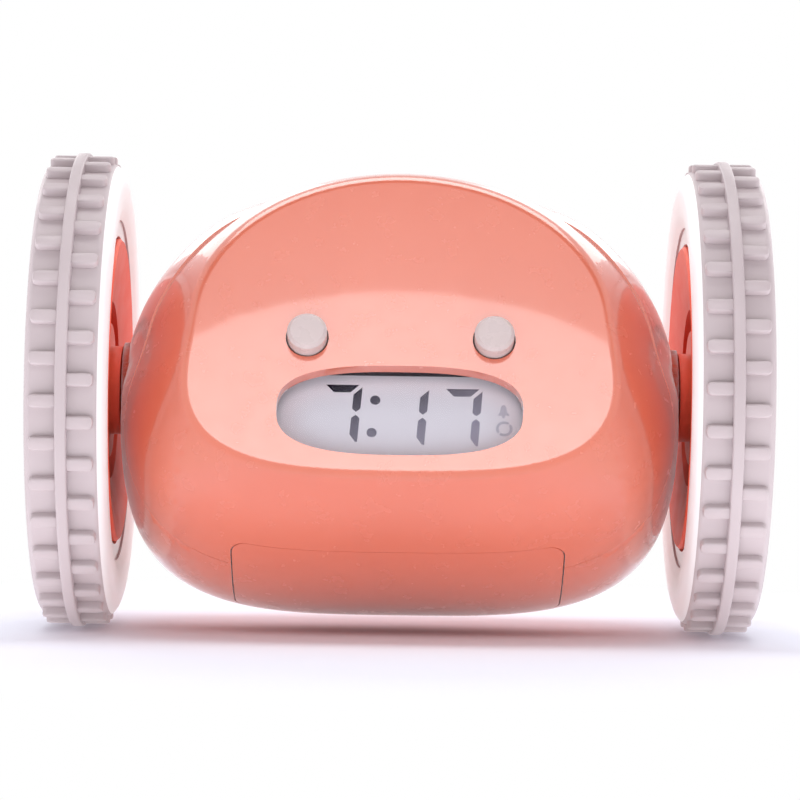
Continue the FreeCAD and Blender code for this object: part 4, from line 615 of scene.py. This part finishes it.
# %% Run the tree
def grown_mesh(seed, tree, name, **values):
    """Run a tree on a mesh and keep the plain mesh that comes out."""
    carrier = new_object(name, seed)
    run = carrier.modifiers.new("grow", "NODES")
    run.node_group = tree
    for socket in tree.interface.items_tree:
        key = socket.name.replace(" ", "_").lower()
        if socket.in_out == "INPUT" and key in values:
            run[socket.identifier] = values[key]
    view = bpy.context.evaluated_depsgraph_get()
    plain = bpy.data.meshes.new_from_object(carrier.evaluated_get(view), depsgraph=view)
    bpy.data.objects.remove(carrier)
    plain.name = name
    print(name, len(plain.polygons), "faces")
    return plain


# %% Make both tyres
BARS_IN_ROW = 36
FIRST_BAR = 2.4
BRIGHT_WALL = 53.6 * MM
TYRE_EDGE = 40

for side, sign in SIDES.items():
    first = math.radians(90 - FIRST_BAR)
    bars = grown_mesh(tread_bar, bar_tree, f"{side}_tread_bars", bars_in_a_row=BARS_IN_ROW,
                      inner_row_turn=first, outer_row_turn=first - math.pi / BARS_IN_ROW,
                      inner_side=math.pi if sign > 0 else 0.0,
                      wheel_middle=sign * RIB_MIDDLE * MM, rubber=tyre_rubber)
    work = turned_mesh(carcass_outline, sign)
    work.from_mesh(bars)
    mesh = bpy.data.meshes.new(f"{side}_tyre_rubber")
    work.to_mesh(mesh)
    work.free()
    mesh.materials.clear()
    mesh.materials.append(tyre_rubber)
    mesh.materials.append(tyre_wall_painted_bright)
    # Painted light: the wall that faces the egg takes the rubber copy painted brighter.
    for face in mesh.polygons:
        face.material_index = 1 if abs(face.center.x) < BRIGHT_WALL else 0
    shade_soft(mesh, TYRE_EDGE)
    tyre = new_object(f"{side}_tyre_rubber", mesh)
    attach(tyre, f"{side}_wheel")
    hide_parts(f"{side}_tyre")
    print(tyre.name, len(mesh.polygons), "faces")

# %% [markdown]
# ## Figures of the display
#
# Liquid-crystal figures are thin patches that turn dark behind the glass. A texture could draw
# them, but patches of real geometry stay sharp at any distance and export as they are. They are
# flat prisms a few hundredths of a millimetre thick, lying on the glass. Coordinates are in the
# plane of the face, in millimetres: across, and up the face.

# %% Places on the tilted face
TILT = math.radians(26.6)
FACE_UP = Vector((0, math.sin(TILT), math.cos(TILT)))
FACE_OUT = Vector((0, -math.cos(TILT), math.sin(TILT)))
GLASS_FRONT = 24.7
INK_THICK = 0.03


def on_face(across, up, out):
    return (Vector((across, 0, 0)) + FACE_UP * up + FACE_OUT * out) * MM


def patch(work, outline):
    """A thin closed prism on the glass from an outline of (across, up) points."""
    area = sum(a[0] * b[1] - b[0] * a[1] for a, b in zip(outline, outline[1:] + outline[:1]))
    if area < 0:
        outline = outline[::-1]
    low = [work.verts.new(on_face(x, v, GLASS_FRONT)) for x, v in outline]
    high = [work.verts.new(on_face(x, v, GLASS_FRONT + INK_THICK)) for x, v in outline]
    work.faces.new(low[::-1])
    work.faces.new(high)
    for i in range(len(outline)):
        j = (i + 1) % len(outline)
        work.faces.new((low[i], low[j], high[j], high[i]))


print("the glass looks along", [round(v, 3) for v in FACE_OUT])

# %% Outlines for strokes, dots and rings
FIGURE_HIGH = 11.4
FIGURE_WIDE = 6.6
STROKE = 1.5
POINT = 0.65
SLANT = 0.075
GAP = 0.30


def segments(right_top, which):
    """The named strokes of one slanted figure, hung from its top right corner."""
    high, half, wide = FIGURE_HIGH, FIGURE_HIGH / 2, FIGURE_WIDE
    tip = half - GAP
    shapes = {
        "top": [(-wide, 0), (-2 * GAP, 0), (-2 * GAP - STROKE, -STROKE), (STROKE - wide, -STROKE)],
        "upper right": [(0, -1.5 * GAP), (0, POINT - tip), (-STROKE / 2, -tip),
                        (-STROKE, POINT - tip), (-STROKE, -1.5 * GAP - STROKE)],
        "lower right": [(-STROKE / 2, -half - GAP), (0, -half - GAP - POINT), (0, -high),
                        (-STROKE / 4, -high), (-STROKE, STROKE - high),
                        (-STROKE, -half - GAP - POINT)],
    }
    x0, v0 = right_top
    return [[(x0 + x + SLANT * v, v0 + v) for x, v in shapes[name]] for name in which]


def disc(centre, radius, steps=20):
    return [(centre[0] + radius * math.cos(math.tau * k / steps),
             centre[1] + radius * math.sin(math.tau * k / steps)) for k in range(steps)]


def ring_pieces(centre, outer, inner, steps=28, gaps=(3, 17)):
    """A ring cut into short thick arcs, with a gap at some of the steps."""
    pieces = []
    for k in range(steps):
        if k in gaps:
            continue
        a, b = math.tau * k / steps, math.tau * (k + 1) / steps
        pieces.append([(centre[0] + r * math.cos(t), centre[1] + r * math.sin(t))
                       for r, t in ((outer, a), (outer, b), (inner, b), (inner, a))])
    return pieces


print("a figure is", FIGURE_WIDE, "wide and", FIGURE_HIGH, "high")

# %% Draw the time and the signs
HOUR_TOP = (-6.74, -10.6)
TEN_TOP = (5.3, -11.0)
UNIT_TOP = (14.95, -11.15)
COLON = ((-4.45, -13.6), (-5.0, -20.1))
COLON_RADIUS = 0.92
BELL = [(17.55, -16.35), (19.85, -16.35), (19.35, -15.75), (19.2, -14.75), (18.95, -14.3),
        (18.45, -14.3), (18.2, -14.75), (18.05, -15.75)]
CLAPPER, CLAPPER_RADIUS, CLAPPER_STEPS = (18.7, -16.6), 0.3, 10
RING, RING_OUTER, RING_INNER = (18.8, -19.0), 1.5, 1.0


def make_ink(name, outlines, ink):
    work = bmesh.new()
    for outline in outlines:
        patch(work, outline)
    mesh = bpy.data.meshes.new(name)
    work.to_mesh(mesh)
    work.free()
    mesh.materials.append(ink)
    made = new_object(name, mesh)
    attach(made, "clock_body")
    print(name, len(outlines), "patches")


figures = segments(HOUR_TOP, ("top", "upper right", "lower right"))
figures += segments(TEN_TOP, ("upper right", "lower right"))
figures += segments(UNIT_TOP, ("top", "upper right", "lower right"))
figures += [disc(dot, COLON_RADIUS) for dot in COLON]
make_ink("display_figures", figures, segment_ink)
signs = [BELL, disc(CLAPPER, CLAPPER_RADIUS, CLAPPER_STEPS)]
signs += ring_pieces(RING, RING_OUTER, RING_INNER)
make_ink("display_signs", signs, faint_ink)

# %% [markdown]
# ## Studio: the floor
#
# The clock stands on a white sweep. To the camera, in mirrors and through glass, it fades into
# plain white a hand's width away, so no horizon shows. For the light it works like a light table:
# outside the shadow under the clock it glows, and that lifts the belly and the hubs.

# %% Rays that are seen
def seen_rays(tree):
    """1 for rays that show a surface to the eye, 0 for rays that only light something."""
    rays = tree.nodes.new("ShaderNodeLightPath")
    seen = rays.outputs["Is Camera Ray"]
    for kind in ("Is Transmission Ray", "Is Glossy Ray"):
        either = node(tree, "ShaderNodeMath", operation="MAXIMUM")
        tree.links.new(seen, either.inputs[0])
        tree.links.new(rays.outputs[kind], either.inputs[1])
        seen = either.outputs["Value"]
    return seen


print("seen: straight, through glass and in mirrors")

# %% Floor
FLOOR = cad_low.z
SWEEP = 3.0
SWEEP_LIGHT, SWEEP_DARK = (0.84, 0.86, 0.93), (0.83, 0.85, 0.92)
SWEEP_CLOUDS, SWEEP_ROUGHNESS = 3.0, 0.8
NEAR, FAR = 0.105, 0.165
TABLE_GLOW = 1.3
GLOW_FROM = (0.038, 0.110)


def make_floor():
    mesh = bpy.data.meshes.new("studio floor")
    mesh.from_pydata([(x * SWEEP, y * SWEEP, FLOOR)
                      for x, y in ((-1, -1), (1, -1), (1, 1), (-1, 1))], [], [(0, 1, 2, 3)])
    made = new_object("studio floor", mesh)
    material = bpy.data.materials.new("studio white")
    material.use_nodes = True
    mesh.materials.append(material)
    light_floor(material.node_tree)


def light_floor(tree):
    """White cloth near the clock, glowing for other surfaces, and plain white further away."""
    shader = tree.nodes["Principled BSDF"]
    slow = spread(tree, noise(tree, SWEEP_CLOUDS), 0.0, 1.0)
    tree.links.new(mix_colours(tree, slow, SWEEP_LIGHT, SWEEP_DARK), shader.inputs["Base Color"])
    shader.inputs["Roughness"].default_value = SWEEP_ROUGHNESS
    shader.inputs["Specular IOR Level"].default_value = 0.0
    place = tree.nodes.new("ShaderNodeTexCoord")
    length = node(tree, "ShaderNodeVectorMath", operation="LENGTH")
    tree.links.new(place.outputs["Object"], length.inputs[0])
    distance = length.outputs["Value"]
    seen = seen_rays(tree)
    glow = product(tree, spread(tree, seen, TABLE_GLOW, 0.0, 0.0, 1.0),
                   spread(tree, distance, 0.0, 1.0, *GLOW_FROM))
    tree.links.new(glow, shader.inputs["Emission Strength"])
    away = spread(tree, distance, 0.0, 1.0, NEAR, FAR)
    away.node.interpolation_type = "SMOOTHSTEP"
    white = node(tree, "ShaderNodeEmission", Color=(1, 1, 1, 1), Strength=1.0)
    show_mixed(tree, product(tree, seen, away), shader.outputs["BSDF"], white.outputs["Emission"])


make_floor()
print("floor at", round(FLOOR, 4))

# %% [markdown]
# ## Studio: the air
#
# The world is a tent of white cloth with a darker opening for the camera in front. It is brighter
# near the horizon than overhead, as a lit cloth is. That holds for the light it gives. To the eye
# it is always plain white, so the backdrop can be white without lighting the clock more.

# %% World
OPENING = (-0.80, -0.25)
CLIMB = (0.0, 0.7)


def make_world(side_light, front_light, horizon, zenith, tint):
    world = bpy.data.worlds.new("studio air")
    bpy.context.scene.world = world
    world.use_nodes = True
    tree = world.node_tree
    place = tree.nodes.new("ShaderNodeTexCoord")
    parts = tree.nodes.new("ShaderNodeSeparateXYZ")
    tree.links.new(place.outputs["Generated"], parts.inputs["Vector"])
    tent = spread(tree, parts.outputs["Y"], front_light, side_light, *OPENING)
    height = spread(tree, parts.outputs["Z"], horizon, zenith, *CLIMB)
    strength = node(tree, "ShaderNodeMix", data_type="FLOAT")
    inputs = {s.name: s for s in strength.inputs if s.type == "VALUE"}
    seen = seen_rays(tree)
    tree.links.new(seen, inputs["Factor"])
    tree.links.new(product(tree, tent, height), inputs["A"])
    inputs["B"].default_value = 1.0
    backdrop = tree.nodes["Background"]
    mixed = [s for s in strength.outputs if s.type == "VALUE"][0]
    tree.links.new(mixed, backdrop.inputs["Strength"])
    tree.links.new(mix_colours(tree, seen, tint, (1.0, 1.0, 1.0)), backdrop.inputs["Color"])
    print("world:", world.name)


make_world(side_light=1.0, front_light=0.26, horizon=1.3, zenith=0.85, tint=(0.98, 0.95, 1.0))

# %% [markdown]
# ## Studio: the lamps
#
# One large round softbox hangs in front and above. The glossy face mirrors it, and its edges draw
# the border between deep and pale coral. A second one lies overhead for the top of the egg, and two
# at the back pick out the rims. A radiance of 1 looks white, so the numbers can be compared with
# the world's.

# %% Softboxes
def direction(azimuth, elevation):
    """The way from the clock to a place around it; azimuth 0 is straight in front."""
    a, e = math.radians(azimuth), math.radians(elevation)
    return Vector((math.sin(a) * math.cos(e), -math.cos(a) * math.cos(e), math.sin(e)))


def softbox(name, azimuth, elevation, distance, size, radiance, shape="RECTANGLE"):
    """A lamp that looks at the clock."""
    out = direction(azimuth, elevation)
    lamp = bpy.data.lights.new(name, "AREA")
    lamp.shape = shape
    lamp.size, lamp.size_y = size
    area = size[0] * size[1] * (math.pi / 4 if shape == "ELLIPSE" else 1.0)
    lamp.energy = radiance * math.pi * area
    made = bpy.data.objects.new(name, lamp)
    bpy.context.scene.collection.objects.link(made)
    made.location = out * distance
    made.rotation_euler = (-out).to_track_quat("-Z", "Y").to_euler()
    print(name, round(lamp.energy, 2), "W")


softbox("key softbox", azimuth=0.0, elevation=41.9, distance=0.80, size=(0.40, 0.35),
        radiance=3.0, shape="ELLIPSE")
softbox("top softbox", azimuth=180.0, elevation=88.0, distance=0.85, size=(0.80, 0.40),
        radiance=3.2)
for side, sign in SIDES.items():
    softbox(f"rear {side} softbox", azimuth=sign * 150.0, elevation=26.0, distance=0.85,
            size=(0.55, 0.40), radiance=1.8)

# %% [markdown]
# A flag is a dark card that keeps light off something. This one hangs between the key softbox and
# the top one. It is seen only in the glossy face, where it gives the softbox a clean upper edge.

# %% Flag
flag_cloth = finish("flag cloth", light=(0.10, 0.09, 0.09), dark=(0.08, 0.07, 0.07),
                    gloss=(0.8, 0.9), grain=(500.0, 0.1, 0.0001))


def make_flag(elevation, distance, size):
    e = math.radians(elevation)
    out = direction(0.0, elevation)
    up = Vector((0.0, math.sin(e), math.cos(e)))
    corners = [out * distance + Vector((x * size[0] / 2, 0, 0)) + up * y * size[1] / 2
               for x, y in ((-1, -1), (1, -1), (1, 1), (-1, 1))]
    mesh = bpy.data.meshes.new("flag")
    mesh.from_pydata(corners, [], [(0, 1, 2, 3)])
    mesh.materials.append(flag_cloth)
    made = new_object("flag", mesh)
    print("flag at", [round(v, 3) for v in out * distance])


make_flag(elevation=69.5, distance=0.95, size=(1.0, 0.40))

# %% [markdown]
# ## Camera
#
# The camera stands an arm's length away with a long lens, as for a small product on a table. From
# there each wheel shows its tread and a little of the side that faces the egg. A slight roll and a
# shift of the lens settle the clock in the picture.

# %% Camera
SENSOR = 36.0
NEAREST = 0.01


def make_camera(distance, azimuth, elevation, roll, lens, shift):
    view = bpy.data.cameras.new("view")
    view.lens = lens
    view.sensor_width = SENSOR
    view.shift_x, view.shift_y = shift
    view.clip_start = NEAREST
    made = bpy.data.objects.new("view", view)
    bpy.context.scene.collection.objects.link(made)
    back = direction(azimuth, elevation)
    made.location = back * distance
    aim = (-back).to_track_quat("-Z", "Y").to_matrix()
    made.rotation_euler = (aim @ Matrix.Rotation(math.radians(roll), 3, "Z")).to_euler()
    bpy.context.scene.camera = made
    print("camera at", [round(v, 3) for v in made.location])


make_camera(distance=0.640, azimuth=0.0, elevation=0.15, roll=0.8, lens=152.64,
            shift=(0.0, -0.0075))
bpy.context.scene.view_settings.view_transform = "Standard"
